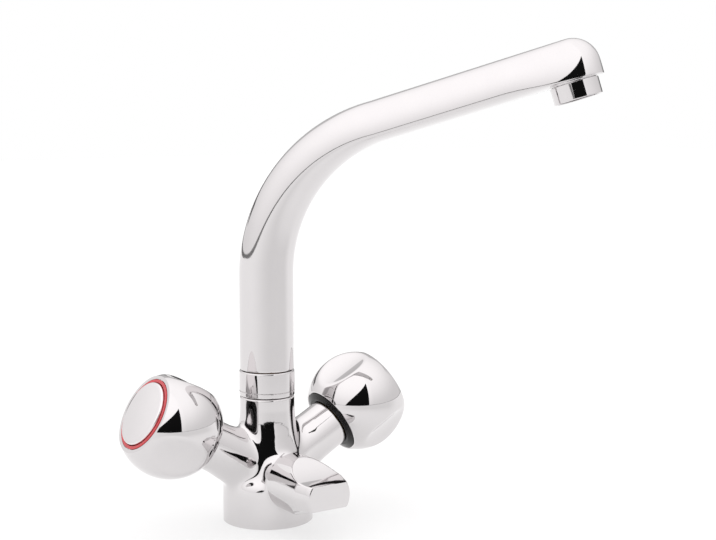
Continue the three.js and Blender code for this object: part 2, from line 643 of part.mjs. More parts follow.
function mixingKnob(group, prefix, turn, indexFinish) {
  headwork(group, prefix, branchHeadwork);
  piece(group, `${prefix}_knob`, 'chrome', knobShape(turn));

  const bushFlange = KNOB_REAR - GAP;
  const bushBore = FLANGE_RADIUS + GAP;
  piece(group, `${prefix}_rear_bush`, 'black', turned([
    [bushBore, BUSH_REAR],
    [BUSH_FOOT, BUSH_REAR],
    [BUSH_RADIUS, bushFlange - BUSH_LIP],
    [BUSH_RADIUS, bushFlange],
    [BUSH_SPIGOT, bushFlange],
    [BUSH_SPIGOT, KNOB_REAR + BUSH_SPIGOT_LENGTH - GAP],
    [bushBore, KNOB_REAR + BUSH_SPIGOT_LENGTH - GAP],
    [bushBore, BUSH_REAR],
  ], MEDIUM_SIDES));

  const head = HUB_TOP + GAP;
  const headTop = head + SCREW_HEAD_HEIGHT;
  piece(group, `${prefix}_knob_screw`, 'steel', turned([
    [0, head - SCREW_LENGTH],
    [SCREW_RADIUS, head - SCREW_LENGTH],
    [SCREW_RADIUS, head],
    [SCREW_HEAD_RADIUS, head],
    [SCREW_HEAD_RADIUS, headTop - SCREW_HEAD_CHAMFER],
    [SCREW_HEAD_RADIUS - SCREW_HEAD_SLOPE, headTop],
    [0, headTop],
  ], SMALL_SIDES));

  const seat = CAP_LEDGE + GAP;
  const ringOuter = CAP_RECESS - GAP;
  const capRadius = ringOuter - INDEX_RING_WIDTH - GAP;
  piece(group, `${prefix}_index_ring`, indexFinish,
    ring(ringOuter - INDEX_RING_WIDTH, ringOuter, seat, KNOB_FACE + INDEX_PROUD, MEDIUM_SIDES));
  const dome = [1, 0.5, 0].map((share) => [
    (capRadius - CAP_EDGE) * share,
    KNOB_FACE + CAP_PROUD + CAP_DOME * (1 - share * share),
  ]);
  piece(group, `${prefix}_index_cap`, 'chrome', turned([
    [0, seat + CAP_SKIRT_HEIGHT],
    [capRadius - CAP_SKIRT, seat + CAP_SKIRT_HEIGHT],
    [capRadius - CAP_SKIRT, seat],
    [capRadius, seat],
    [capRadius, KNOB_FACE + CAP_PROUD - CAP_EDGE / 2],
    ...dome,
  ], MEDIUM_SIDES));
}

mixingKnob(hotBranch, 'hot', HOT_KNOB_TURN, 'red');
mixingKnob(coldBranch, 'cold', COLD_KNOB_TURN, 'blue');

// ================================================================ the front shut-off valve
headwork(valve, 'valve', valveHeadwork);

function valveHandleShape() {
  const stemBore = VALVE_STEM + GAP;
  const neckBore = VALVE_NECK + GAP;
  const neckEnd = VALVE_NECK_TOP + GAP;
  const flangeBore = VALVE_FLANGE + GAP;
  const flangeEnd = VALVE_BOSS_LENGTH + VALVE_FLANGE_HEIGHT + 2 * GAP;
  const blank = turned([
    [HANDLE_POCKET, HANDLE_REAR],
    [HANDLE_RADIUS, HANDLE_REAR],
    [HANDLE_RADIUS, HANDLE_FACE - HANDLE_BEVEL],
    ...arc(HANDLE_FACE_RADIUS - HANDLE_EDGE, HANDLE_FACE - HANDLE_EDGE, HANDLE_EDGE, 0, 90, 3),
    [0, HANDLE_FACE],
    [0, VALVE_STEM_TOP + GAP],
    [stemBore, VALVE_STEM_TOP + GAP],
    [stemBore, neckEnd],
    [neckBore, neckEnd],
    [neckBore, flangeEnd],
    [flangeBore, flangeEnd],
    [flangeBore, HANDLE_POCKET_END],
    [HANDLE_POCKET, HANDLE_POCKET_END],
    [HANDLE_POCKET, HANDLE_REAR],
  ]);
  const flanks = [-1, 1].map((side) => {
    const tool = rod(FLANK_RADIUS, -HANDLE_RADIUS - OVERRUN, HANDLE_RADIUS + OVERRUN, FLANK_SIDES);
    const height = side * (HANDLE_FACE_HEIGHT / 2 + FLANK_RADIUS);
    return tool.rotateY(Math.PI / 2).translate(0, height, HANDLE_FACE);
  });
  const tapping = rod(SCREW_RADIUS + GAP, 0, HANDLE_RADIUS + OVERRUN, HOLE_SIDES)
    .rotateX(Math.PI / 2).translate(0, 0, SET_SCREW_AT);
  return cut(blank, ...flanks, tapping);
}
piece(valve, 'valve_handle', 'chrome', valveHandleShape());
piece(valve, 'valve_set_screw', 'steel',
  rod(SCREW_RADIUS, VALVE_STEM + GAP, HANDLE_FACE_HEIGHT / 2, HOLE_SIDES)
    .rotateX(Math.PI / 2).translate(0, 0, SET_SCREW_AT));

// ================================================================ spout
// Centreline stations of the spout: reach, height, tangent angle above level and the
// distance along it. The riser is straight, then bends over, then the arm rises straight.
function stations(low, end, bendSteps, armSteps) {
  const list = [{ x: 0, z: low, slope: 90 }, { x: 0, z: (low + RISER_TOP) / 2, slope: 90 }];
  const sweep = 90 - SPOUT_RISE;
  for (let i = 0; i <= bendSteps; i++) {
    const turn = (sweep * i) / bendSteps;
    list.push({
      x: BEND_RADIUS * (1 - Math.cos(rad(turn))),
      z: RISER_TOP + BEND_RADIUS * Math.sin(rad(turn)),
      slope: 90 - turn,
    });
  }
  for (let i = 1; i <= armSteps; i++) {
    const run = (end * i) / armSteps;
    list.push({
      x: bendEndReach + run * Math.cos(rad(SPOUT_RISE)),
      z: bendEndHeight + run * Math.sin(rad(SPOUT_RISE)),
      slope: SPOUT_RISE,
      run,
    });
  }
  return list;
}

// Round the bend the round riser becomes the arm, which has a flat underside and a domed top.
function tubeSkin(inset, low, bendSteps, armSteps, tipSteps, sides) {
  const outletRun = (OUTLET_REACH - bendEndReach) / Math.cos(rad(SPOUT_RISE));
  const half = TUBE_RADIUS - inset;
  const armHigh = ARM_HALF_HEIGHT - inset;
  const tip = Math.max(TIP_ROUND - inset, 1);
  const list = stations(low, outletRun, bendSteps, armSteps);
  for (let i = 1; i <= tipSteps; i++) {
    const run = outletRun + (TIP_REACH - inset) * Math.sin((Math.PI / 2) * TIP_CLOSE * (i / tipSteps));
    list.push({
      x: bendEndReach + run * Math.cos(rad(SPOUT_RISE)),
      z: bendEndHeight + run * Math.sin(rad(SPOUT_RISE)),
      slope: SPOUT_RISE,
      run,
    });
  }
  const rings = list.map(({ x, z, slope, run }) => {
    const bent = (90 - slope) / (90 - SPOUT_RISE);
    const ease = bent ** FLATTEN_POWER;
    const high = half + (armHigh - half) * ease;
    const sink = KEEL * high * ease;
    const past = Math.max(0, (run ?? 0) - outletRun);
    const width = half * Math.sqrt(Math.max(1 - (past / (TIP_REACH - inset)) ** 2, 0));
    const round = Math.max(0, past - (TIP_REACH - inset - tip));
    const top = high - tip + Math.sqrt(Math.max(tip * tip - round * round, 0));
    const points = [];
    for (let i = 0; i < sides; i++) {
      const angle = (2 * Math.PI * i) / sides;
      const up = Math.sin(angle) * (Math.sin(angle) > 0 ? top + sink : high - sink) - sink;
      points.push(new THREE.Vector3(
        x - up * Math.sin(rad(slope)),
        width * Math.cos(angle),
        z + up * Math.cos(rad(slope)),
      ));
    }
    return points;
  });
  return lofted(rings);
}

const nutTop = NECK_TOP + NUT_HEIGHT + GAP;
const riserBottom = nutTop + GAP;
const mouth = -ARM_HALF_HEIGHT; // height of the spout's mouth in the outlet's frame

function spoutTubeShape() {
  const outside = tubeSkin(0, riserBottom, 10, 2, 5, ROUND_SIDES - 4);
  const inside = tubeSkin(TUBE_WALL, riserBottom - OVERRUN, 7, 1, 2, SMALL_SIDES);
  const rim = turned([
    [0, mouth],
    [MOUTH_RADIUS, mouth],
    [MOUTH_RADIUS, mouth + MOUTH_RIM_HEIGHT],
    [MOUTH_NECK_RADIUS, mouth + MOUTH_RIM_HEIGHT],
    [MOUTH_NECK_RADIUS, -MOUTH_NECK_TOP],
    [0, -MOUTH_NECK_TOP],
  ], ROUND_SIDES - 4);
  const socketTop = mouth + AERATOR_THREAD_LENGTH + GAP;
  const socket = rod(AERATOR_THREAD + GAP, mouth - OVERRUN, socketTop, MEDIUM_SIDES);
  const throat = rod(AERATOR_THREAD - THROAT_STEP, mouth, OVERRUN);
  for (const shape of [rim, socket, throat]) shape.applyMatrix4(outlet.matrix);
  return cut(joined(cut(outside, inside), rim), socket, throat);
}
piece(spout, 'spout_tube', 'chrome', spoutTubeShape());

// Heights of what holds the spout down, from the neck's top upwards.
const slipLow = NECK_TOP + THREAD_LENGTH + GAP;
const snapLow = slipLow + SLIP_HEIGHT + GAP;
const snapHigh = snapLow + SNAP_HEIGHT;
const nutLow = NECK_TOP + GAP;

function insertShape() {
  const snapFloor = INSERT_RADIUS - SNAP_GROOVE;
  const ringFloor = INSERT_RADIUS - O_RING_GROOVE;
  const foot = NECK_BORE_FLOOR + INSERT_FOOT;
  const profile = [[INSERT_BORE, foot], [INSERT_RADIUS, foot]];
  for (let i = 0; i < 2; i++) {
    const low = O_RING_LOW + i * O_RING_PITCH;
    profile.push([INSERT_RADIUS, low], [ringFloor, low]);
    profile.push([ringFloor, low + O_RING_WIDTH], [INSERT_RADIUS, low + O_RING_WIDTH]);
  }
  profile.push([INSERT_RADIUS, snapLow - GAP / 2], [snapFloor, snapLow - GAP / 2]);
  profile.push([snapFloor, snapHigh + GAP / 2], [INSERT_RADIUS, snapHigh + GAP / 2]);
  profile.push([INSERT_RADIUS, riserBottom], [TUBE_RADIUS - TUBE_WALL - GAP, riserBottom]);
  profile.push([TUBE_RADIUS - TUBE_WALL - GAP, riserBottom + INSERT_SOCKET]);
  profile.push([INSERT_BORE, riserBottom + INSERT_SOCKET], [INSERT_BORE, foot]);
  return turned(profile, SMALL_SIDES);
}
piece(spout, 'spout_insert', 'brass', insertShape());
['lower', 'upper'].forEach((name, i) => {
  const height = O_RING_LOW + i * O_RING_PITCH + O_RING_WIDTH / 2;
  const inner = INSERT_RADIUS - O_RING_GROOVE + GAP / 2;
  piece(spout, `spout_o_ring_${name}`, 'rubber', rubberRing(inner, NECK_BORE - GAP / 2, height));
});

const snapInner = INSERT_RADIUS - SNAP_GROOVE + GAP;
const snapRing = ring(snapInner, SNAP_RADIUS, snapLow, snapHigh, MEDIUM_SIDES);
const split = block(SNAP_RADIUS, SNAP_SPLIT, SNAP_HEIGHT * 3, -SNAP_RADIUS, 0, snapLow);
piece(spout, 'spout_snap_ring', 'steel', cut(snapRing, split));

piece(faucet, 'spout_slip_ring', 'nylon',
  ring(INSERT_RADIUS + GAP, THREAD_RADIUS - GAP, slipLow, slipLow + SLIP_HEIGHT, MEDIUM_SIDES));
piece(faucet, 'spout_nut', 'chrome', turned([
  [THREAD_RADIUS + GAP, nutLow],
  ...arc(NUT_RADIUS - NUT_EDGE, nutLow + NUT_EDGE, NUT_EDGE, -90, 0, 1),
  ...arc(NUT_RADIUS - NUT_EDGE, nutTop - NUT_EDGE, NUT_EDGE, 0, 90, 1),
  [INSERT_RADIUS + GAP, nutTop],
  [INSERT_RADIUS + GAP, nutTop - NUT_LIP],
  [THREAD_RADIUS + GAP, nutTop - NUT_LIP],
  [THREAD_RADIUS + GAP, nutLow],
]));

// ================================================================ aerator
const shellTop = mouth - GAP;
const shellLow = shellTop - AERATOR_SHOWN;
const gridLow = shellLow + AERATOR_GRID_RECESS;
const shellBore = AERATOR_THREAD - AERATOR_WALL;
const threadTop = mouth + AERATOR_THREAD_LENGTH;
const gasketLow = threadTop - GASKET_HEIGHT;
piece(outlet, 'aerator_shell', 'chrome', turned([
  [AERATOR_RADIUS - AERATOR_WALL, shellLow],
  [AERATOR_RADIUS - AERATOR_EDGE, shellLow],
  [AERATOR_RADIUS, shellLow + AERATOR_EDGE],
  [AERATOR_RADIUS, shellTop],
  [AERATOR_THREAD, shellTop],
  [AERATOR_THREAD, gasketLow - GAP],
  [shellBore, gasketLow - GAP],
  [shellBore, gridLow],
  [AERATOR_RADIUS - AERATOR_WALL, gridLow],
  [AERATOR_RADIUS - AERATOR_WALL, shellLow],
], MEDIUM_SIDES));
piece(outlet, 'aerator_insert', 'nylon',
  rod(shellBore - GAP, gridLow + GRID_LIP, gasketLow - GAP, MEDIUM_SIDES));
piece(outlet, 'aerator_gasket', 'rubber',
  ring(shellBore - GAP, AERATOR_THREAD, gasketLow, threadTop, MEDIUM_SIDES));

export default faucet;
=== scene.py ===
# %% [markdown]
# # A kitchen mixer with two ball knobs
#
# The mixer stands on a sink: a small cast body, two branches with ball-shaped knobs, a high
# swivel spout and, low on its front, the little handle of a shut-off valve for an appliance.
# Everything that shows is chromed and mirrors a white studio, so the surfaces have to be
# even: a mirror shows every wrinkle. That is why most pieces here are spun, lofted or
# pressed by a formula, and only the cast body is melted together from several solids.
#
# The mechanical model is loaded first. It fixes every size, place and joint, and each piece
# below is modelled around it.

# %% Load the mechanical model
import json
import math

import bpy
from mathutils import Matrix, Vector


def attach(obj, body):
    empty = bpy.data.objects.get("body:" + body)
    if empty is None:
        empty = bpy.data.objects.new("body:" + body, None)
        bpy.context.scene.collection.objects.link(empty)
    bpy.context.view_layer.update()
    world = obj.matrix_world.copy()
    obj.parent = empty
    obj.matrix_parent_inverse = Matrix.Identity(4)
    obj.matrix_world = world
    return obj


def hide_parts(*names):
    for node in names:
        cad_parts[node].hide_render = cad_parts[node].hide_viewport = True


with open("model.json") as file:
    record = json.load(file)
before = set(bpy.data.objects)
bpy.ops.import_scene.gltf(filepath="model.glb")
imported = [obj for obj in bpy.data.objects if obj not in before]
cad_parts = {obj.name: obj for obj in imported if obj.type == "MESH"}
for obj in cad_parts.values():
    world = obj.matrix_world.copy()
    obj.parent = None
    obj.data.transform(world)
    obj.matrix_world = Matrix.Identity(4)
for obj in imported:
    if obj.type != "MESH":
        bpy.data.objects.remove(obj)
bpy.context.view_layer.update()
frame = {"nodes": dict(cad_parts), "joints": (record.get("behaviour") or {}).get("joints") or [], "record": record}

MM = 0.001
nodes = frame["nodes"]
bpy.ops.object.select_all(action="DESELECT")

# %% [markdown]
# ## Where the pieces stand
#
# Each knob, the valve's handle and the spout turn about an axis of the mechanical model. It
# is easiest to model such a piece upright, round the world's Z axis, and then to lay it on
# its own axis. A matrix does that. It is applied to the mesh, not to the object, so every
# finished object stays at the origin.

# %% Frames of the branches, the valve and the spout
joints = {joint["name"]: joint for joint in frame["joints"]}


def lying_on(joint, axis_of_turn, angle):
    """A matrix that carries the upright Z axis to a joint's axis."""
    return Matrix.Translation(joints[joint]["pos_m"]) @ Matrix.Rotation(angle, 4, axis_of_turn)


hot_axis = joints["hot_knob_turn"]["axis"]
branch_lean = math.atan2(-hot_axis[0], hot_axis[2])
HOT = lying_on("hot_knob_turn", "Y", -branch_lean)
COLD = lying_on("cold_knob_turn", "Y", branch_lean)
VALVE = lying_on("valve_handle_turn", "X", math.pi / 2)

SPOUT_TURN = math.radians(-50)
SPOUT_RISE = math.radians(17)
SPOUT = Matrix.Rotation(SPOUT_TURN, 4, "Z")
print("branches lean", round(math.degrees(branch_lean), 2), "degrees from upright")

# %% [markdown]
# ## Tools for turned pieces
#
# A lathe part is a closed outline spun round an axis. The outline is given by its corners.
# A third number is the radius of a corner: real edges are never quite sharp, and on chrome
# it is the small rounding that catches a line of light. Close beside each rounding stands a
# guard point, which keeps the shading of the rounding off the straight wall next to it. A ring
# of points is added, each point is put on the outline, and the Spin operator turns it.

# %% Outline and spin
GUARD = 0.12  # a guard point's distance from the end of a rounding


def rounded(corners, steps=5):
    """Points of a closed outline. A corner is (radius, height) or (radius, height, rounding)."""
    points = []
    for i, (x, z, *rounding) in enumerate(corners):
        here = Vector((x, z))
        if not rounding:
            points.append(here)
            continue
        back = (Vector(corners[i - 1][:2]) - here).normalized()
        ahead = (Vector(corners[(i + 1) % len(corners)][:2]) - here).normalized()
        half = back.angle(ahead) / 2
        centre = here + (back + ahead).normalized() * rounding[0] / math.sin(half)
        run = rounding[0] / math.tan(half)
        start = here + back * run - centre
        end = here + ahead * run - centre
        first = math.atan2(start.y, start.x)
        turn = (math.atan2(end.y, end.x) - first + math.pi) % (2 * math.pi) - math.pi
        points.append(here + back * (run + GUARD))
        for k in range(steps + 1):
            angle = first + turn * k / steps
            points.append(centre + rounding[0] * Vector((math.cos(angle), math.sin(angle))))
        points.append(here + ahead * (run + GUARD))
    return points


def edit(*operators):
    """Runs operators on the active mesh in edit mode, each on all of it."""
    bpy.ops.object.mode_set(mode="EDIT")
    for operator, settings in operators:
        bpy.ops.mesh.select_all(action="SELECT")
        operator(**settings)
    bpy.ops.object.mode_set(mode="OBJECT")


def spun(name, outline, segments=128):
    """A closed outline in millimetres, turned round Z."""
    bpy.ops.object.select_all(action="DESELECT")
    bpy.ops.mesh.primitive_circle_add(vertices=len(outline), radius=1)
    piece = bpy.context.object
    piece.name = piece.data.name = name
    for vertex, (radius, height) in zip(piece.data.vertices, outline):
        vertex.co = (radius * MM, 0, height * MM)
    whole_turn = {"steps": segments, "angle": 2 * math.pi, "center": (0, 0, 0), "axis": (0, 0, 1)}
    edit(
        (bpy.ops.mesh.spin, whole_turn),
        (bpy.ops.mesh.remove_doubles, {"threshold": 0.001 * MM}),
        (bpy.ops.mesh.delete_loose, {}),
        (bpy.ops.mesh.normals_make_consistent, {"inside": False}),
    )
    return piece


def smooth(piece, angle=32):
    """Shades a piece smooth, apart from edges sharper than the angle."""
    bpy.ops.object.select_all(action="DESELECT")
    piece.select_set(True)
    bpy.context.view_layer.objects.active = piece
    bpy.ops.object.shade_smooth_by_angle(angle=math.radians(angle))


# %% [markdown]
# ## Tools for cutting and melting
#
# The Boolean modifier joins and cuts solids. Voxel Remesh melts overlapping solids into one
# skin of even quads, and the Smooth modifier then draws the skin tight, which turns the
# creases between them into the soft fillets of a casting.

# %% Modifiers applied by a helper
def modified(piece, kind, **settings):
    """Adds a modifier, applies it and leaves nothing live."""
    modifier = piece.modifiers.new(kind.lower(), kind)
    for key, value in settings.items():
        setattr(modifier, key, value)
    bpy.ops.object.select_all(action="DESELECT")
    bpy.context.view_layer.objects.active = piece
    bpy.ops.object.modifier_apply(modifier=modifier.name)
    return piece


def combine(piece, operation, *tools):
    """Joins the tools to a piece or cuts them out of it, and deletes them."""
    for tool in tools:
        modified(piece, "BOOLEAN", operation=operation, solver="MANIFOLD", object=tool)
        bpy.data.objects.remove(tool)
    return piece


def rod(radius, low, high, segments=64, edge=0):
    """A plain round solid, used as a tool for cutting and joining."""
    corners = [(0, low), (radius, low), (radius, high), (0, high)]
    if edge:
        corners[1:3] = [(radius, low, edge), (radius, high, edge)]
    return spun("tool", rounded(corners), segments)


def block(place, size):
    """A box in millimetres, used as a tool for cutting."""
    bpy.ops.mesh.primitive_cube_add(size=1, location=Vector(place) * MM)
    box = bpy.context.object
    box.scale = Vector(size) * MM
    bpy.ops.object.transform_apply()
    return box


def carried(piece, matrix):
    """Lays an upright piece on its axis, in its mesh."""
    piece.data.transform(matrix)
    return piece


dressed = []


def settle(piece, body, slot, *replaced, angle=32):
    """Shades a finished piece, and says what carries it and which nodes it stands for."""
    smooth(piece, angle)
    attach(piece, body)
    if replaced:
        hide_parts(*replaced)
    dressed.append((piece, slot))
    size = [round(v / MM, 1) for v in piece.dimensions]
    print(piece.name, "faces", len(piece.data.polygons), "size in mm", size)
    return piece


# %% [markdown]
# ## The body casting
#
# On the real mixer the base, the neck, the two branches and the boss of the front valve are
# one brass casting, ground and polished before it is chromed. Where two of these solids
# meet there is a soft fillet. A bevel can't follow such a crossing of curved walls, so the
# four turned solids overlap and are melted into one skin. The skin is then drawn tight:
# a little everywhere, to take the grain of the voxels out of the mirror, and much more in
# the creases, where a vertex group gives the fillets their size.

# %% Sizes of the casting, in millimetres
GAP = 0.3  # between pieces that seat or turn on each other
OVERRUN = 3  # how far a tool, or a solid that is cut to length, runs on
BASE_RADIUS = 24
BASE_SIDE_TOP = 20
SHOULDER_RADIUS = 6
SHOULDER_SWEEP = math.radians(60)
NECK_RADIUS = 14.5
NECK_TOP = 67
NECK_FLARE_TOP = 61  # the neck widens below this height
NECK_FLARE_EASE = 10
FOOT_FLARE_RISE = 8
FOOT_FLARE_RUN = 2
THREAD_RADIUS = 12.5
THREAD_LENGTH = 8
NECK_BORE = 10.1
NECK_BORE_FLOOR = 46
BRANCH_LENGTH = 44
BRANCH_RADIUS = 13.4
BRANCH_ROOT_RADIUS = 16.8  # above and below; in front a branch stays slim
ROOT_HOLD = 0.25  # share of a limb's length along which its root stays wide
ROOT_FADE = 0.6  # share along which it then narrows
SLIM_POWER = 8  # how soon the wide root gives way towards the front
BRANCH_BORE = 10.3
BRANCH_BORE_FLOOR = 19
BOSS_LENGTH = 34
BOSS_RADIUS = 12
VALVE_BORE = 8.4
VALVE_BORE_FLOOR = 16
VOXEL = 0.6
print("neck up to", NECK_TOP, "mm, branches", BRANCH_LENGTH, "mm long from the neck's axis")


# %% Outlines of the trunk and its limbs
def arc(radius_at, height_at, radius, start, end, steps):
    """Points of an arc in an outline."""
    angles = [start + (end - start) * k / steps for k in range(steps + 1)]
    return [(radius_at + radius * math.cos(a), height_at + radius * math.sin(a)) for a in angles]


def flare(points, steps):
    """Points of a Bezier curve, without its first one."""
    curve = []
    for k in range(1, steps + 1):
        t = k / steps
        weights = ((1 - t) ** 3, 3 * t * (1 - t) ** 2, 3 * t * t * (1 - t), t**3)
        curve.append(tuple(sum((p * w for p, w in zip(points, weights)), Vector((0, 0)))))
    return curve


def trunk_outline():
    """Base, rounded shoulder and flaring neck."""
    middle = BASE_RADIUS - SHOULDER_RADIUS
    shoulder = arc(middle, BASE_SIDE_TOP, SHOULDER_RADIUS, 0, SHOULDER_SWEEP, steps=16)
    foot = Vector(shoulder[-1])
    top = Vector((NECK_RADIUS, NECK_FLARE_TOP))
    rise = Vector((-FOOT_FLARE_RUN, FOOT_FLARE_RISE))
    ease = Vector((0, -NECK_FLARE_EASE))
    neck = flare((foot, foot + rise, top + ease, top), steps=32)
    end = NECK_TOP + THREAD_LENGTH
    return [(0, -OVERRUN), (BASE_RADIUS, -OVERRUN), *shoulder, *neck, (NECK_RADIUS, end), (0, end)]


def limb_radius(share, radius, root):
    """The root of a limb is wider and fades out along it."""
    fade = min(max((share - ROOT_HOLD) / ROOT_FADE, 0), 1)
    return radius + (root - radius) * (0.5 + 0.5 * math.cos(math.pi * fade))


def slimming(x, y, round_radius, slim_radius):
    """Share that takes a round root in at its front, and keeps it above and below."""
    upright = (x / math.hypot(x, y)) ** SLIM_POWER
    return (slim_radius + (round_radius - slim_radius) * upright) / round_radius


def limb(length, radius, root, rings=24):
    """A branch or the valve's boss, a little too long. In front it stays slim."""
    side = [(limb_radius(k / rings, radius, root), length * k / rings) for k in range(rings + 1)]
    end = length + OVERRUN
    piece = spun("limb", [(0, 0), *side, (radius, end), (0, end)], segments=256)
    for vertex in piece.data.vertices:
        x, y, along = vertex.co / MM
        if math.hypot(x, y) > 0.1:
            share = slimming(x, y, limb_radius(along / length, radius, root), radius)
            vertex.co.x *= share
            vertex.co.y *= share
    return piece


# %% Melt the trunk and the limbs into one skin
LIMBS = [
    (HOT, BRANCH_LENGTH, BRANCH_RADIUS, BRANCH_ROOT_RADIUS),
    (COLD, BRANCH_LENGTH, BRANCH_RADIUS, BRANCH_ROOT_RADIUS),
    (VALVE, BOSS_LENGTH, BOSS_RADIUS, BOSS_RADIUS),
]
body = spun("mixer_body", trunk_outline(), segments=256)
for part in [body, *(carried(limb(*sizes), matrix) for matrix, *sizes in LIMBS)]:
    part.select_set(True)
bpy.context.view_layer.objects.active = body
bpy.ops.object.join()
modified(body, "REMESH", mode="VOXEL", voxel_size=VOXEL * MM, use_smooth_shade=True)
print("melted skin", len(body.data.polygons), "faces")

# %% [markdown]
# The fillet's weight is worked out for every vertex. A vertex lies on the trunk or on one
# limb, and it is near a crease if it is also close to the other one's surface.

# %% Draw the creases into fillets
FILLET_REACH = 10  # how far from a crease the skin is drawn
FILLET_PASSES = 170
EVEN_PASSES = 12

trunk_points = trunk_outline()
limb_frames = [(matrix.inverted(), *sizes) for matrix, *sizes in LIMBS]


def trunk_radius(height):
    """Radius of the trunk at a height, in millimetres."""
    for (r0, h0), (r1, h1) in zip(trunk_points[1:], trunk_points[2:-1]):
        if h0 <= height <= h1 and h1 > h0:
            return r0 + (r1 - r0) * (height - h0) / (h1 - h0)
    return NECK_RADIUS


def crease_weight(point):
    """1 in the crease between two solids, falling to 0 at the fillet's reach."""
    depths = [abs(math.hypot(point.x, point.y) / MM - trunk_radius(point.z / MM))]
    for upright, length, radius, root in limb_frames:
        local = upright @ point
        if local.z <= 0:
            continue
        high = limb_radius(local.z / MM / length, radius, root)
        share = slimming(local.x, local.y, high, radius)
        depths.append(abs(math.hypot(local.x, local.y) / MM - high * share))
    depths.sort()
    away = depths[1] / FILLET_REACH if len(depths) > 1 else 1
    return max(0, 1 - away) ** 0.5


group = body.vertex_groups.new(name="creases")
for vertex in body.data.vertices:
    weight = crease_weight(vertex.co)
    if weight > 0:
        group.add([vertex.index], weight, "REPLACE")
modified(body, "SMOOTH", factor=0.5, iterations=FILLET_PASSES, vertex_group="creases")
modified(body, "SMOOTH", factor=0.5, iterations=EVEN_PASSES)

# %% [markdown]
# Now the casting is machined, as in the factory: the underside and the ends are faced off,
# the spigot for the collar nut is turned down and the bores are cut. A boolean cut leaves
# crisp edges, which the melting alone would have blurred.


# %% Tools that bore, face and thread
BORE_ROUND = 0.4


def ridges(radius, low, high, pitch=1.0, depth=0.45):
    """Outline points of a thread, from its low end to its high end."""
    points = []
    for k in range(round((high - low) / pitch)):
        start = low + pitch * k
        points += [(radius, start + 0.1 * pitch), (radius - depth, start + 0.6 * pitch)]
    return [(radius, low), *points, (radius, high)]


def cutter(outline, matrix=Matrix.Identity(4), segments=64):
    """A solid to be cut out of a piece, laid on its axis."""
    return carried(spun("cutter", outline, segments), matrix)


def end_tool(bore, floor, wall, length):
    """Outline of the tool that bores a limb and faces off its end."""
    beyond = length + 2 * OVERRUN
    return rounded([
        (0, floor), (bore, floor, BORE_ROUND), (bore, length), (2 * wall, length),
        (2 * wall, beyond), (0, beyond),
    ])


# %% Face the ends, turn the spigot and cut the bores
WIDE = BASE_RADIUS + 2 * OVERRUN
NECK_EDGE = 1.3  # rounding of the neck's top edge
SKIM = 0.05  # the tool cuts this deep into the wall and leaves no step
BORE_TOP = 90
thread_end = NECK_TOP + THREAD_LENGTH + 1
edge_low = NECK_TOP - NECK_EDGE
spigot = [
    *ridges(THREAD_RADIUS, NECK_TOP, thread_end), (WIDE, thread_end), (WIDE, edge_low),
    *arc(NECK_RADIUS - NECK_EDGE, edge_low, NECK_EDGE + SKIM, 0, math.pi / 2, steps=8),
]
neck_bore = [(0, NECK_BORE_FLOOR), (NECK_BORE, NECK_BORE_FLOOR), (NECK_BORE, BORE_TOP), (0, BORE_TOP)]
branch_tool = end_tool(BRANCH_BORE, BRANCH_BORE_FLOOR, BRANCH_RADIUS, BRANCH_LENGTH)
valve_tool = end_tool(VALVE_BORE, VALVE_BORE_FLOOR, BOSS_RADIUS, BOSS_LENGTH)
combine(
    body, "DIFFERENCE",
    cutter([(0, -2 * OVERRUN), (WIDE, -2 * OVERRUN), (WIDE, 0), (0, 0)], segments=128),
    cutter(spigot, segments=128),
    cutter(neck_bore),
    cutter(branch_tool, HOT, segments=96),
    cutter(branch_tool, COLD, segments=96),
    cutter(valve_tool, VALVE, segments=96),
)
print("machined casting", len(body.data.polygons), "faces")

# %% Hollow, hose ports and stud hole underneath
CAVITY_RADIUS = 19
CAVITY_DEPTH = 9
REBATE_RADIUS = 21.1
REBATE_DEPTH = 2.1
PORT_RADIUS = 4.6
PORT_DEPTH = 9
INLET_X = 9
INLET_Y = 5
OUTLET_Y = -12
STUD_RADIUS = 4.1
STUD_DEPTH = 12
STUD_Y = 12.5
hollow = rounded([
    (0, -OVERRUN), (REBATE_RADIUS, -OVERRUN), (REBATE_RADIUS, REBATE_DEPTH),
    (CAVITY_RADIUS, REBATE_DEPTH), (CAVITY_RADIUS, CAVITY_DEPTH, 1.5), (0, CAVITY_DEPTH),
])
combine(body, "DIFFERENCE", cutter(hollow, segments=128))
PORTS = [
    (-INLET_X, INLET_Y, PORT_RADIUS, PORT_DEPTH),
    (INLET_X, INLET_Y, PORT_RADIUS, PORT_DEPTH),
    (0, OUTLET_Y, PORT_RADIUS, PORT_DEPTH),
    (0, STUD_Y, STUD_RADIUS, STUD_DEPTH),
]
for x, y, radius, depth in PORTS:
    start = CAVITY_DEPTH - 1
    roof = CAVITY_DEPTH + depth
    outline = [(0, start), *ridges(radius, start, roof - 2), (radius, roof), (0, roof)]
    combine(body, "DIFFERENCE", cutter(outline, Matrix.Translation((x * MM, y * MM, 0))))
settle(body, "base", "body_chrome", "faucet_body")

# %% [markdown]
# ## The sealing ring and the collar nut
#
# A rubber ring lies in the rim of the base and keeps water out of the sink's hole. The
# collar nut holds the spout down. It is turned from bar, so it has small even roundings,
# and a fine groove near its foot, which shows as a thin dark line.

# %% Base seal
SEAL_OUTER = CAVITY_RADIUS + 1.8
SEAL_HEIGHT = 1.8
seal = spun("base_sealing_ring", rounded([
    (CAVITY_RADIUS, 0, 0.5), (SEAL_OUTER, 0, 0.5), (SEAL_OUTER, SEAL_HEIGHT, 0.4),
    (CAVITY_RADIUS, SEAL_HEIGHT, 0.4),
]))
settle(seal, "base", "rubber", "base_seal")

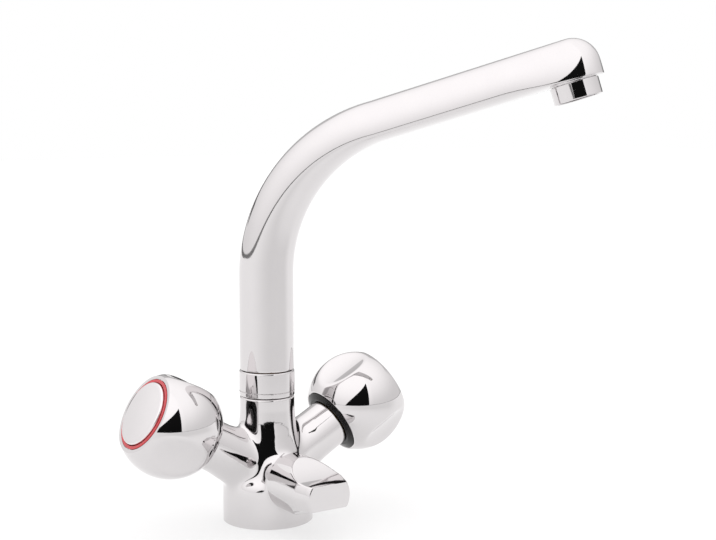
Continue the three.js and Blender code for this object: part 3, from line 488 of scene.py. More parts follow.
# %% Collar nut
NUT_RADIUS = 14.7
NUT_LOW = NECK_TOP + GAP
NUT_TOP = NECK_TOP + 13.7
NUT_INSIDE = THREAD_RADIUS + GAP
NUT_LIP = 2.3  # its lip holds the spout's connector down
CONNECTOR_RADIUS = 9.8
GROOVE_AT = NUT_LOW + 2.3
GROOVE_DEPTH = 0.35
GROOVE_WIDTH = 0.6
GROOVE_SLOPE = 0.2
nut = spun("collar_nut", rounded([
    (NUT_INSIDE, NUT_LOW), (NUT_RADIUS, NUT_LOW, 0.6), (NUT_RADIUS, GROOVE_AT, 0.1),
    (NUT_RADIUS - GROOVE_DEPTH, GROOVE_AT + GROOVE_SLOPE, 0.1),
    (NUT_RADIUS - GROOVE_DEPTH, GROOVE_AT + GROOVE_WIDTH - GROOVE_SLOPE, 0.1),
    (NUT_RADIUS, GROOVE_AT + GROOVE_WIDTH, 0.1), (NUT_RADIUS, NUT_TOP, 0.8),
    (CONNECTOR_RADIUS + GAP, NUT_TOP, 0.2), (CONNECTOR_RADIUS + GAP, NUT_TOP - NUT_LIP),
    (NUT_INSIDE, NUT_TOP - NUT_LIP),
]), segments=192)
settle(nut, "base", "nut_chrome", "spout_nut")

# %% [markdown]
# ## The spout
#
# The real spout is a drawn tube: round where it leaves the nut, bent in one long sweep, and
# pressed along the arm to a section with a flat underside and a domed top. Here a flat grid
# is the sheet that is rolled into a tube, and the pipe bender is a function: each row of
# points is carried to its station on the centreline, rolled up square to it and flattened
# by its share of the bend. The arm is widest under its centreline, and this widest line
# sinks a little more towards the head. Round the outlet the sides draw in and the top
# comes down in an arc, and together they close the tip.

# %% Sizes of the spout, in millimetres
RISER_LOW = NUT_TOP + GAP
RISER_TOP = 131.2
BEND_RADIUS = 84.4
OUTLET_REACH = 157
TUBE_RADIUS = 14.3
ARM_HALF_HEIGHT = 10.6
TUBE_WALL = 1.6
END_ROUND = 0.8  # rounding of the riser's lower edge
TIP_REACH = 15.2
TIP_LEAD = 12  # the head starts to narrow this far before the outlet's axis
TIP_POWER = 3
TIP_ROUND = 14
FLATTEN_POWER = 1.4  # how late in the bend the round tube flattens
KEEL = 0.66  # the arm is widest this share of its half height under its centreline
HEAD_KEEL = 0.92  # the same at the head
KEEL_RUN = 34  # length of the change between the two
bend_length = BEND_RADIUS * (math.pi / 2 - SPOUT_RISE)
bend_end = Vector((
    BEND_RADIUS * (1 - math.sin(SPOUT_RISE)), 0, RISER_TOP + BEND_RADIUS * math.cos(SPOUT_RISE),
))
arm_length = (OUTLET_REACH - bend_end.x) / math.cos(SPOUT_RISE)
arm_way = Vector((math.cos(SPOUT_RISE), 0, math.sin(SPOUT_RISE)))
OUTLET = SPOUT @ Matrix.Translation((bend_end + arm_way * arm_length) * MM)
OUTLET = OUTLET @ Matrix.Rotation(-SPOUT_RISE, 4, "Y")
print("bend", round(bend_length, 1), "mm long, arm", round(arm_length, 1), "mm to the outlet")


# %% A point of the rolled, bent and flattened tube
def station(run):
    """Centre of the tube and its slope, a distance along it above the top of the riser."""
    if run <= 0:
        return Vector((0, 0, RISER_TOP + run)), math.pi / 2
    if run < bend_length:
        turn = run / BEND_RADIUS
        across = BEND_RADIUS * (1 - math.cos(turn))
        return Vector((across, 0, RISER_TOP + BEND_RADIUS * math.sin(turn))), math.pi / 2 - turn
    return bend_end + arm_way * (run - bend_length), SPOUT_RISE


def tube_point(run, angle, inset):
    """A point of the tube's skin."""
    centre, slope = station(run)
    bent = (math.pi / 2 - slope) / (math.pi / 2 - SPOUT_RISE)
    half = TUBE_RADIUS - inset
    high = half + (ARM_HALF_HEIGHT - inset - half) * bent**FLATTEN_POWER
    past = run - bend_length - arm_length
    near_head = min(max(1 + past / KEEL_RUN, 0), 1)
    keel = KEEL + (HEAD_KEEL - KEEL) * near_head**2 * (3 - 2 * near_head)
    sink = keel * high * bent**FLATTEN_POWER
    reach = TIP_REACH - inset
    tip = TIP_ROUND - inset
    narrowing = max(past + TIP_LEAD, 0) / (reach + TIP_LEAD)
    width = half * math.sqrt(max(1 - narrowing**TIP_POWER, 0))
    over = max(0, past - (reach - tip))
    top = high - tip + math.sqrt(max(tip * tip - over * over, 0))
    up = math.sin(angle) * (top + sink if math.sin(angle) > 0 else high - sink) - sink
    across = math.cos(angle) * width
    return centre + Vector((-up * math.sin(slope), across, up * math.cos(slope)))


# %% Roll the sheet and close the tip
def tube(name, low, inset, sides, bend_rings, arm_rings, tip_rings, end_rings=4):
    """A closed tube from a height below the bend to the tip, with a rounded lower edge."""
    straight = arm_length - TIP_LEAD
    start = low - RISER_TOP
    angles = [math.pi / 2 * k / end_rings for k in range(end_rings + 1)]
    insets = [END_ROUND * (1 - math.sin(angle)) for angle in angles]
    runs = [start + END_ROUND * (1 - math.cos(angle)) for angle in angles]
    runs += [start + END_ROUND + GUARD, start / 2]
    runs += [bend_length * k / bend_rings for k in range(bend_rings + 1)]
    runs += [bend_length + straight * k / arm_rings for k in range(1, arm_rings + 1)]
    head = TIP_LEAD + TIP_REACH - inset
    quarter = math.pi / 2 / tip_rings
    runs += [bend_length + straight + head * math.sin(quarter * k) for k in range(1, tip_rings + 1)]
    bpy.ops.object.select_all(action="DESELECT")
    bpy.ops.mesh.primitive_grid_add(x_subdivisions=len(runs) - 1, y_subdivisions=sides, size=1)
    piece = bpy.context.object
    piece.name = piece.data.name = name
    for vertex in piece.data.vertices:
        ring = round((vertex.co.x + 0.5) * (len(runs) - 1))
        angle = 2 * math.pi * (vertex.co.y + 0.5)
        further = insets[ring] if ring < len(insets) else 0
        vertex.co = tube_point(runs[ring], angle, inset + further) * MM
    edit(
        (bpy.ops.mesh.remove_doubles, {"threshold": 0.002 * MM}),
        (bpy.ops.mesh.fill_holes, {"sides": 0}),
        (bpy.ops.mesh.normals_make_consistent, {"inside": False}),
    )
    return carried(piece, SPOUT)


# %% Outside, bore, rim and mouth
MOUTH = -ARM_HALF_HEIGHT
MOUTH_RADIUS = 13.3
RIM_TOP = MOUTH + 1.2
SOCKET_WALL_RADIUS = 12.6  # over the rim, inside the arm
SOCKET_WALL_TOP = -4
AERATOR_THREAD = 10.8
THREAD_END = MOUTH + 5
THROAT_RADIUS = AERATOR_THREAD - 2.5
THROAT_TOP = 2
spout = tube("swivel_spout", RISER_LOW, 0, sides=160, bend_rings=96, arm_rings=40, tip_rings=64)
bore_low = RISER_LOW - OVERRUN
bore = tube("bore", bore_low, TUBE_WALL, sides=64, bend_rings=40, arm_rings=10, tip_rings=12)
rim = carried(spun("rim", rounded([
    (0, MOUTH), (MOUTH_RADIUS, MOUTH, 0.35), (MOUTH_RADIUS, RIM_TOP), (SOCKET_WALL_RADIUS, RIM_TOP),
    (SOCKET_WALL_RADIUS, SOCKET_WALL_TOP), (0, SOCKET_WALL_TOP),
]), segments=160), OUTLET)
socket = carried(rod(AERATOR_THREAD + GAP, MOUTH - OVERRUN, THREAD_END + GAP), OUTLET)
throat = carried(rod(THROAT_RADIUS, MOUTH, THROAT_TOP), OUTLET)
combine(spout, "DIFFERENCE", bore)
combine(spout, "UNION", rim)
combine(spout, "DIFFERENCE", socket, throat)
settle(spout, "spout", "spout_chrome", "spout_tube")

# %% [markdown]
# ## The aerator
#
# The chromed shell screws into the mouth and holds a plastic insert that mixes air into the
# water. Its end is a grid: seen from below, small square holes in a round plate.

# %% Aerator shell
SHELL_RADIUS = 12
SHELL_TOP = MOUTH - GAP
SHELL_LOW = SHELL_TOP - 8.5
SHELL_WALL = 1.2
SHELL_BORE = AERATOR_THREAD - SHELL_WALL
GRID_LOW = SHELL_LOW + 2.5
GASKET_HEIGHT = 0.9
GASKET_LOW = THREAD_END - GASKET_HEIGHT
shell = spun("aerator_sleeve", rounded([
    (SHELL_RADIUS - SHELL_WALL, SHELL_LOW, 0.3), (SHELL_RADIUS, SHELL_LOW, 0.4),
    (SHELL_RADIUS, SHELL_TOP, 0.25), (AERATOR_THREAD, SHELL_TOP, 0.1),
    *ridges(AERATOR_THREAD, SHELL_TOP + 0.2, GASKET_LOW - 2 * GAP),
    (AERATOR_THREAD, GASKET_LOW - GAP), (SHELL_BORE, GASKET_LOW - GAP), (SHELL_BORE, GRID_LOW),
    (SHELL_RADIUS - SHELL_WALL, GRID_LOW, 0.2),
]), segments=192)
settle(carried(shell, OUTLET), "spout", "aerator_chrome", "aerator_shell")

# %% Aerator insert with its grid of holes
INSERT_SIDE = SHELL_BORE - GAP
INSERT_LOW = GRID_LOW + 0.5
GRID_PITCH = 1.9
GRID_HOLE = 1.3
HOLE_DEPTH = 1.6
insert = spun("aerator_grid", rounded([
    (0, INSERT_LOW), (INSERT_SIDE, INSERT_LOW, 0.3), (INSERT_SIDE, GASKET_LOW - GAP, 0.3),
    (0, GASKET_LOW - GAP),
]))
reach = int(INSERT_SIDE // GRID_PITCH)
hole_size = (GRID_HOLE, GRID_HOLE, 2 * HOLE_DEPTH)
holes = [
    block((column * GRID_PITCH, row * GRID_PITCH, INSERT_LOW), hole_size)
    for column in range(-reach, reach + 1)
    for row in range(-reach, reach + 1)
    if math.hypot(column, row) * GRID_PITCH + GRID_HOLE <= INSERT_SIDE
]
for hole in holes:
    hole.select_set(True)
bpy.ops.object.join()
print("holes in the grid", len(holes))
combine(insert, "DIFFERENCE", bpy.context.object)
settle(carried(insert, OUTLET), "spout", "nylon", "aerator_insert")

# %% Aerator gasket
gasket = spun("aerator_washer", rounded([
    (INSERT_SIDE, GASKET_LOW, 0.2), (AERATOR_THREAD, GASKET_LOW, 0.2),
    (AERATOR_THREAD, THREAD_END, 0.2), (INSERT_SIDE, THREAD_END, 0.2),
]))
settle(carried(gasket, OUTLET), "spout", "rubber", "aerator_gasket")

# %% [markdown]
# ## The ball knobs
#
# A knob is a hollow ball of plated plastic with three shallow scallops for the fingers. It
# could be cut with three cylinders, but a boolean leaves uneven triangles along the edges,
# and those show on chrome. So the ball is spun, and each point of its skin is drawn in to
# the scallops by a formula: the distance from the knob's axis to a cylinder beside it. A
# soft minimum of ball and scallop rounds the edge between the two.

# %% Sizes of a knob, measured along its branch
BUSH_REAR = BRANCH_LENGTH + 2 * GAP
BUSH_RADIUS = 18.2
BUSH_SPIGOT = 17  # radius of the bush inside the ball
KNOB_REAR = BUSH_REAR + 2.3 + GAP  # the bush's flange is 2.3 thick
KNOB_CENTRE = KNOB_REAR + 17.8
KNOB_FACE = KNOB_CENTRE + 17
KNOB_RADIUS = 27
SKIRT_END = KNOB_REAR - 1.1  # the ball's skin reaches back over the bush
POCKET_TOP = KNOB_REAR + 3.3
SCALLOP_DEPTH = 4.4
SCALLOP_RADIUS = 36
EDGE_SOFTNESS = 0.28
ON_SKIN = 0.02  # a point this close to the ball belongs to its skin
KNOB_CAVITY = 20.5
WEB_HIGH = KNOB_CENTRE - 4
WEB_LOW = WEB_HIGH - 4
REAR_MOUTH = 14
HUB_TOP = WEB_HIGH + 10
HUB_RADIUS = 7.5
STEM_RADIUS = 4.2
CAP_RECESS = 19.2
CAP_LEDGE = KNOB_FACE - 3.2
LEDGE_INNER = 16.6
LEDGE_LOW = CAP_LEDGE - 4
print("ball from", round(KNOB_REAR, 1), "to", round(KNOB_FACE, 1), "mm along its branch")


# %% Scallops by a formula
def soft_minimum(a, b, softness):
    """The smaller of two lengths, with a rounded change from one to the other."""
    blend = min(max(0.5 + (b - a) / (8 * softness), 0), 1)
    return b + (a - b) * blend - 4 * softness * blend * (1 - blend)


def scalloped(piece):
    """Draws the ball's skin in to its three scallops."""
    distance = KNOB_RADIUS - SCALLOP_DEPTH + SCALLOP_RADIUS
    third = 2 * math.pi / 3
    for vertex in piece.data.vertices:
        x, y, height = vertex.co / MM
        radius = math.hypot(x, y)
        if abs(math.hypot(radius, height - KNOB_CENTRE) - KNOB_RADIUS) > ON_SKIN:
            continue
        beside = (math.atan2(y, x) + third / 2) % third - third / 2
        limit = distance * math.cos(beside) - math.sqrt(
            max(SCALLOP_RADIUS**2 - (distance * math.sin(beside)) ** 2, 0)
        )
        if abs(distance * math.sin(beside)) > SCALLOP_RADIUS:
            continue
        share = soft_minimum(radius, limit, EDGE_SOFTNESS) / radius
        vertex.co.x *= share
        vertex.co.y *= share
    return piece


# %% Both knobs
SIDES = {"hot": HOT, "cold": COLD}
KNOB_TURN = {"hot": math.radians(-2), "cold": math.radians(68)}


def ball_knob(name):
    """A hollow ball with its hub, its recess for the cap and its pocket for the bush."""
    rear = math.asin((SKIRT_END - KNOB_CENTRE) / KNOB_RADIUS)
    front = math.asin((KNOB_FACE - KNOB_CENTRE) / KNOB_RADIUS)
    bore = STEM_RADIUS + GAP
    pocket = BUSH_SPIGOT + GAP
    inside = rounded([
        (CAP_RECESS, KNOB_FACE), (CAP_RECESS, CAP_LEDGE), (LEDGE_INNER, CAP_LEDGE, 0.2),
        (KNOB_CAVITY, LEDGE_LOW, 2), (KNOB_CAVITY, WEB_HIGH, 2), (HUB_RADIUS, WEB_HIGH, 1),
        (HUB_RADIUS, HUB_TOP, 0.5), (bore, HUB_TOP, 0.3), (bore, WEB_LOW, 0.3),
        (REAR_MOUTH, WEB_LOW, 1), (REAR_MOUTH, POCKET_TOP), (pocket, POCKET_TOP),
        (pocket, KNOB_REAR), (BUSH_RADIUS + GAP, KNOB_REAR), (BUSH_RADIUS + GAP, SKIRT_END),
    ])
    skin = arc(0, KNOB_CENTRE, KNOB_RADIUS, rear, front, steps=100)
    return scalloped(spun(name, [*skin, *inside], segments=240))


def copied(piece, name):
    """A copy of a piece with a mesh of its own."""
    twin = piece.copy()
    twin.data = piece.data.copy()
    twin.name = twin.data.name = name
    bpy.context.scene.collection.objects.link(twin)
    return twin


hot_ball = ball_knob("hot_ball_knob")
balls = {"hot": hot_ball, "cold": copied(hot_ball, "cold_ball_knob")}
for side, ball in balls.items():
    turned = SIDES[side] @ Matrix.Rotation(KNOB_TURN[side], 4, "Z")
    settle(carried(ball, turned), f"{side}_handle", "knob_chrome", f"{side}_knob")

# %% [markdown]
# ## Index caps, index rings, bushes and screws
#
# A slightly domed cap closes each knob and stands a little proud of its face. The coloured
# ring round it tells hot from cold: red on the left, blue on the right. At the back, a
# black plastic bush fills the step between the branch and the ball, and shows as a tapered
# black band, because the ball's skin reaches over its joint. A screw under the cap holds
# the knob on its spindle.

# %% Sizes of these pieces, along the branch too
INDEX_SLOT = {"hot": "red_index", "cold": "blue_index"}
RING_OUTER = CAP_RECESS - GAP
RING_INNER = RING_OUTER - 1.7
RING_TOP = KNOB_FACE + 0.4
CAP_RADIUS = RING_INNER - GAP
CAP_SEAT = CAP_LEDGE + GAP
CAP_UNDER = CAP_SEAT + 2
CAP_TOP = KNOB_FACE + 1.6
CAP_DOME = 0.8
CAP_EDGE = 0.8  # rounding of its edge
CAP_EDGE_AT = CAP_TOP - 0.75  # height of that rounding's centre
CAP_WALL = 1.8
BUSH_FOOT = 15
BUSH_BORE = 12.2 + GAP
BUSH_FLANGE = KNOB_REAR - GAP
BUSH_LIP = 1
SPIGOT_TOP = POCKET_TOP - GAP
SCREW_RADIUS = 1.6
SCREW_SEAT = HUB_TOP + GAP
SCREW_TIP = SCREW_SEAT - 11
HEAD_RADIUS = 6
HEAD_TOP = SCREW_SEAT + 2.6
print("cap", round(2 * CAP_RADIUS, 1), "mm and ring", round(2 * RING_OUTER, 1), "mm across")


# %% Outline of the cap and recess of the screw
def cap_outline(steps=12):
    """A cap with a skirt, a rounded edge and a low dome."""
    inner = CAP_RADIUS - CAP_WALL
    skirt = [(0, CAP_UNDER), (inner, CAP_UNDER), (inner, CAP_SEAT), (CAP_RADIUS, CAP_SEAT)]
    dome_edge = CAP_RADIUS - CAP_EDGE
    edge = arc(dome_edge, CAP_EDGE_AT, CAP_EDGE, 0, math.radians(80), steps=6)
    shares = [k / steps for k in range(steps - 1, -1, -1)]
    dome = [(dome_edge * share, CAP_TOP + CAP_DOME * (1 - share**2)) for share in shares]
    return [*skirt, *edge, *dome]


def cross_recess(width, length, depth, high):
    """A cutter for a cross recess in a screw's head."""
    bar = block((0, 0, high), (width, length, 2 * depth))
    return combine(bar, "UNION", block((0, 0, high), (length, width, 2 * depth)))


# %% Cap, ring, bush and screw of each knob
for side, matrix in SIDES.items():
    body_name = f"{side}_handle"
    cap = spun(f"{side}_domed_cap", cap_outline(), segments=192)
    settle(carried(cap, matrix), body_name, "cap_chrome", f"{side}_index_cap")
    index = spun(f"{side}_colour_ring", rounded([
        (RING_INNER, CAP_SEAT), (RING_OUTER, CAP_SEAT), (RING_OUTER, RING_TOP, 0.35),
        (RING_INNER, RING_TOP, 0.35),
    ]), segments=192)
    settle(carried(index, matrix), body_name, INDEX_SLOT[side], f"{side}_index_ring")
    bush = spun(f"{side}_black_bush", rounded([
        (BUSH_BORE, BUSH_REAR, 0.3), (BUSH_FOOT, BUSH_REAR, 0.5),
        (BUSH_RADIUS, BUSH_FLANGE - BUSH_LIP, 0.5), (BUSH_RADIUS, BUSH_FLANGE, 0.3),
        (BUSH_SPIGOT, BUSH_FLANGE), (BUSH_SPIGOT, SPIGOT_TOP, 0.3), (BUSH_BORE, SPIGOT_TOP, 0.3),
    ]), segments=160)
    settle(carried(bush, matrix), body_name, "black_plastic", f"{side}_rear_bush")
    screw = spun(f"{side}_fixing_screw", rounded([
        (0, SCREW_TIP), (SCREW_RADIUS - 0.4, SCREW_TIP, 0.3),
        *ridges(SCREW_RADIUS, SCREW_TIP + 0.6, SCREW_SEAT - 1, pitch=0.7, depth=0.3),
        (SCREW_RADIUS, SCREW_SEAT), (HEAD_RADIUS, SCREW_SEAT, 0.3), (HEAD_RADIUS, HEAD_TOP - 1, 0.5),
        (HEAD_RADIUS - 2, HEAD_TOP, 1.5), (0, HEAD_TOP),
    ]))
    combine(screw, "DIFFERENCE", cross_recess(width=1.1, length=4.4, depth=1.4, high=HEAD_TOP))
    settle(carried(screw, matrix), body_name, "steel", f"{side}_knob_screw")

# %% [markdown]
# ## The handle of the front valve
#
# This handle is a round hood over the valve's boss, pinched in front to a flat grip. The
# pinch is made as the real one looks: two large cylinders, above and below, have hollowed
# its flanks. Again a formula does it. Each point keeps its distance to the side, and its
# height is limited to the flank's curve, so the mesh stays even and the front face becomes
# a neat oblong with round ends.

# %% Sizes of the handle, measured along the valve
HANDLE_REAR = 25
HANDLE_FACE = 62
HANDLE_RADIUS = 15
HANDLE_BEVEL = 10
HANDLE_FACE_RADIUS = 12.4
HANDLE_FACE_HEIGHT = 12.8
HANDLE_EDGE = 1.2  # rounding of the front face's rim
BEVEL_START = HANDLE_FACE - HANDLE_BEVEL
EDGE_START = HANDLE_FACE - HANDLE_EDGE
RIM_RADIUS = HANDLE_FACE_RADIUS - HANDLE_EDGE
REAR_EDGE = 0.5
FLANK_RADIUS = 44
FLANK_SOFTNESS = 0.16
POCKET_RADIUS = 12.4  # round the boss
POCKET_END = 34.9
HEADWORK_RADIUS = 10.8  # round the headwork's head
HEADWORK_END = 36.8
NECK_ROOM = 5.9  # round the headwork's neck
NECK_END = 45.3
STEM_ROOM = 3.3  # round the spindle
STEM_TOP = 57
SET_SCREW_AT = 53
SET_SCREW_RADIUS = 1.9
print("handle", HANDLE_FACE - HANDLE_REAR, "mm long and", 2 * HANDLE_RADIUS, "mm across")


# %% Pinch the flanks
def pinched(piece):
    """Presses the flanks of the handle in towards its front face."""
    for vertex in piece.data.vertices:
        x, y, along = vertex.co / MM
        radius = math.hypot(x, y)
        outer = HANDLE_RADIUS
        if along > BEVEL_START:
            outer -= (HANDLE_RADIUS - HANDLE_FACE_RADIUS) * (along - BEVEL_START) / HANDLE_BEVEL
        on_front = along > STEM_TOP + 2
        if not on_front and radius < outer - 0.2 or radius < 0.001:
            continue
        rise = FLANK_RADIUS**2 - min(HANDLE_FACE - along, FLANK_RADIUS) ** 2
        limit = HANDLE_FACE_HEIGHT / 2 + FLANK_RADIUS - math.sqrt(rise)
        rim = max(radius, RIM_RADIUS) if along > EDGE_START else radius
        height = soft_minimum(abs(y) / radius * rim, limit, FLANK_SOFTNESS)
        vertex.co.y = math.copysign(height * radius / rim, y) * MM
    return piece


# %% Spin, pinch and drill the handle
wall_low = HANDLE_REAR + REAR_EDGE
wall = [(HANDLE_RADIUS, wall_low + (BEVEL_START - wall_low) * k / 40) for k in range(41)]
taper = HANDLE_RADIUS - HANDLE_FACE_RADIUS
cone = [(HANDLE_RADIUS - taper * k / 16, BEVEL_START + HANDLE_BEVEL * k / 16) for k in range(1, 14)]
front = arc(RIM_RADIUS, EDGE_START, HANDLE_EDGE, math.radians(14), math.pi / 2, steps=8)
face = [(RIM_RADIUS * k / 12, HANDLE_FACE) for k in range(11, -1, -1)]
inside = rounded([
    (0, STEM_TOP + GAP), (STEM_ROOM, STEM_TOP + GAP), (STEM_ROOM, NECK_END), (NECK_ROOM, NECK_END),
    (NECK_ROOM, HEADWORK_END), (HEADWORK_RADIUS, HEADWORK_END), (HEADWORK_RADIUS, POCKET_END),
    (POCKET_RADIUS, POCKET_END), (POCKET_RADIUS, HANDLE_REAR, 0.2),
    (HANDLE_RADIUS - REAR_EDGE, HANDLE_REAR),
])
handle = pinched(spun("shut_off_handle", [*wall, *cone, *front, *face, *inside], segments=256))
drill = rod(SET_SCREW_RADIUS, 0, HANDLE_RADIUS + OVERRUN)
carried(drill, Matrix.Rotation(math.pi / 2, 4, "X"))
carried(drill, Matrix.Translation((0, 0, SET_SCREW_AT * MM)))
combine(handle, "DIFFERENCE", drill)
settle(carried(handle, VALVE), "valve_handle_body", "handle_chrome", "valve_handle")

# %% [markdown]
# ## Finishes
#
# Shader maths reads best as maths. The class below wraps an output socket, so that an
# expression such as `0.04 + 0.02 * noise` adds its own Math nodes. Any other node comes
# from one method, which takes the node's type, its settings and the values of its inputs.

# %% A socket that takes part in expressions
def operator(operation, reflected=False):
    """A method that adds a Math node for two values."""

    def method(self, other):
        pair = (other, self) if reflected else (self, other)
        return self.shader.node("ShaderNodeMath", {"operation": operation}, *pair)

    return method


class Value:
    """An output socket that takes part in Python expressions."""

    def __init__(self, shader, socket):
        self.shader = shader
        self.socket = socket

    __add__ = operator("ADD")
    __radd__ = operator("ADD", reflected=True)
    __sub__ = operator("SUBTRACT")
    __rsub__ = operator("SUBTRACT", reflected=True)
    __mul__ = operator("MULTIPLY")
    __rmul__ = operator("MULTIPLY", reflected=True)
    __truediv__ = operator("DIVIDE")
    __gt__ = operator("GREATER_THAN")
    __lt__ = operator("LESS_THAN")


# %% A shader that is written by calls
class Shader:
    """A node tree that is written by calls."""

    def __init__(self, tree):
        self.tree = tree
        self.tree.nodes.clear()

    def node(self, kind, settings, *values, output=0, **named):
        """Adds a node. Values fill its inputs in order, None skips one, names use _ for a space."""
        node = self.tree.nodes.new(kind)
        for key, value in settings.items():
            setattr(node, key, value)
        inputs = dict(enumerate(values))
        inputs.update({key.replace("_", " "): value for key, value in named.items()})
        for key, value in inputs.items():
            if isinstance(value, Value):
                self.tree.links.new(value.socket, node.inputs[key])
            elif value is not None:
                node.inputs[key].default_value = value
        return Value(self, node.outputs[output]) if node.outputs else None

    def eased(self, value, low, high):
        """0 below a value, 1 above another, and smooth between them."""
        smooth_step = {"interpolation_type": "SMOOTHSTEP"}
        return self.node("ShaderNodeMapRange", smooth_step, value, low, high, 0.0, 1.0)

    def mixed(self, share, low, high):
        """A colour between two colours, which are the Mix node's inputs 6 and 7."""
        ends = [None] * 5 + [(*low, 1), (*high, 1)]
        return self.node("ShaderNodeMix", {"data_type": "RGBA"}, share, *ends, output=2)

    def split(self, vector):
        """The three components of a vector."""
        parts = self.node("ShaderNodeSeparateXYZ", {}, vector)
        return (Value(self, output) for output in parts.socket.node.outputs)

    def noise(self, size, detail=2, stretch=(1, 1, 1)):
        """Noise whose features are about so many metres wide on the piece."""
        place = self.node("ShaderNodeTexCoord", {}, output="Object")
        scaled = self.node("ShaderNodeMapping", {}, place, Scale=stretch)
        return self.node("ShaderNodeTexNoise", {}, scaled, Scale=1 / size, Detail=detail)

    def bump(self, height, strength):
        """A normal that follows a height in metres."""
        return self.node("ShaderNodeBump", {}, Height=height, Strength=strength, Distance=1.0)

    def surface(self, **inputs):
        """Ends the tree in one Principled shader."""
        shader = self.node("ShaderNodeBsdfPrincipled", {}, **inputs)
        self.node("ShaderNodeOutputMaterial", {}, shader)


materials = {}


def finish_of(slot):
    """A new material for a slot of the record, and the shader that writes it."""
    materials[slot] = bpy.data.materials.new(slot)
    materials[slot].use_nodes = True
    return Shader(materials[slot].node_tree)


# %% [markdown]
# ## Chrome
#
# Polished chrome is a mirror with a slight cool-to-pink cast. What tells the pieces apart is
# how even they are: the cast body and its handle carry the soft waves of hand polishing, the
# drawn tube is straighter, the turned nut has fine rings, and the plated plastic knobs are
# the smoothest. A low Bump gives the waves, and a little Noise in the roughness breaks the
# gloss as wiping does.

# %% Chrome finishes
CHROME = (0.710, 0.690, 0.694)
CHROME_DEEP = (0.680, 0.661, 0.666)


def chrome(slot, wave_size, wave_depth, stretch=(1, 1, 1), gloss=0.03, painted_brightness=1.0):
    """A mirror with waves of a size and a depth in metres, made paler by painted light if the last factor is above
    1.
    """
    shader = finish_of(slot)
    waves = shader.noise(wave_size, 1, stretch)
    wiped = shader.noise(0.011, 4)
    # Painted light: a factor above 1 makes a paler copy of the chrome, so that its reflection shows brighter.
    deep, pale = ([v * painted_brightness for v in tone] for tone in (CHROME_DEEP, CHROME))
    shader.surface(
        Base_Color=shader.mixed(wiped, deep, pale),
        Metallic=1.0,
        Roughness=gloss + 0.03 * wiped,
        Normal=shader.bump(waves * wave_depth, 0.5),
    )


chrome("body_chrome", 0.014, 0.00006)
chrome("handle_chrome", 0.010, 0.00004)
chrome("spout_chrome", 0.030, 0.00005)
chrome("nut_chrome", 0.0012, 0.000001, stretch=(0.05, 0.05, 1))
chrome("knob_chrome", 0.020, 0.00003, gloss=0.02)
# Painted light: the caps' chrome is a 12% paler copy of the chrome, which paints their reflection brighter.
chrome("cap_chrome", 0.016, 0.00002, gloss=0.05, painted_brightness=1.12)
chrome("aerator_chrome", 0.008, 0.00001)
print("chrome finishes", len(materials))

# %% [markdown]
# ## The other finishes
#
# Inside, the mixer is brass, ceramic, rubber and plastic. These show from below, through the
# aerator and when the mixer is taken apart. Each has the grain of its making: brass is
# turned, ceramic is lapped to a soft shine, rubber and moulded plastic are faintly mottled.

# %% Brass, steel, rubber, plastics and ceramic
def plain(slot, low, high, roughness, spread, grain, depth, metallic=0.0, stretch=(1, 1, 1), shine=0.5):
    """A finish between two colours, with a grain of a size and a depth in metres."""
    shader = finish_of(slot)
    mottle = shader.noise(grain, 3, stretch)
    shader.surface(
        Base_Color=shader.mixed(mottle, low, high),
        Metallic=metallic,
        Roughness=roughness + spread * mottle,
        Specular_IOR_Level=shine,
        Normal=shader.bump(mottle * depth, 0.6),
    )


TURNED = {"metallic": 1.0, "stretch": (1, 1, 12)}
plain("brass", (0.56, 0.36, 0.13), (0.72, 0.50, 0.22), 0.24, 0.16, 0.002, 0.00002, **TURNED)
plain("steel", (0.42, 0.43, 0.45), (0.56, 0.57, 0.58), 0.24, 0.14, 0.002, 0.00001, **TURNED)
plain("rubber", (0.010, 0.010, 0.011), (0.024, 0.024, 0.025), 0.62, 0.2, 0.0012, 0.00004)
BLACK = ((0.003, 0.0025, 0.0025), (0.006, 0.0055, 0.005))
plain("black_plastic", *BLACK, 0.20, 0.10, 0.0022, 0.000005, shine=0.22)
plain("ceramic", (0.80, 0.79, 0.75), (0.88, 0.87, 0.84), 0.14, 0.1, 0.0015, 0.000005)
plain("nylon", (0.66, 0.65, 0.61), (0.76, 0.75, 0.71), 0.36, 0.18, 0.0018, 0.00001)
plain("red_index", (0.52, 0.035, 0.045), (0.62, 0.055, 0.065), 0.20, 0.10, 0.003, 0.000005)
plain("blue_index", (0.02, 0.08, 0.42), (0.03, 0.12, 0.52), 0.20, 0.10, 0.003, 0.000005)
print("finishes", len(materials))

# %% [markdown]
# Every new piece gets the material of its slot, and so does every piece of the mechanical
# model that still shows, such as the cartridges and seals inside.

# %% Give every piece its finish
slot_of_node = {part["node"]: part["material_slot"] for part in frame["record"]["subparts"]}
for piece, slot in dressed:
    piece.data.materials.clear()
    piece.data.materials.append(materials[slot])
for name, node in nodes.items():
    if node.hide_render:
        continue
    node.data.materials.clear()
    node.data.materials.append(materials[slot_of_node[name]])
print("pieces modelled", len(dressed), "nodes with a slot", len(slot_of_node))

# %% [markdown]
# ## Studio, floor and camera
#
# The mixer stands in a white tent. A world shader stands in for the tent's walls, because
# chrome shows nothing but what is round it. A soft lamp over the camera's left shoulder
# brightens the walls, and the right side is a little darker. The camera looks in through a
# dark opening, a tall triangle with a slightly bulging edge, which chrome mirrors wherever
# its surface turns the right way. Behind the mixer hangs a greyer backdrop with a thin dark
# stripe low on it, and a thin dark line runs round the tent where its walls meet the table.
# The camera itself sees only white, so Light Path keeps the two apart.

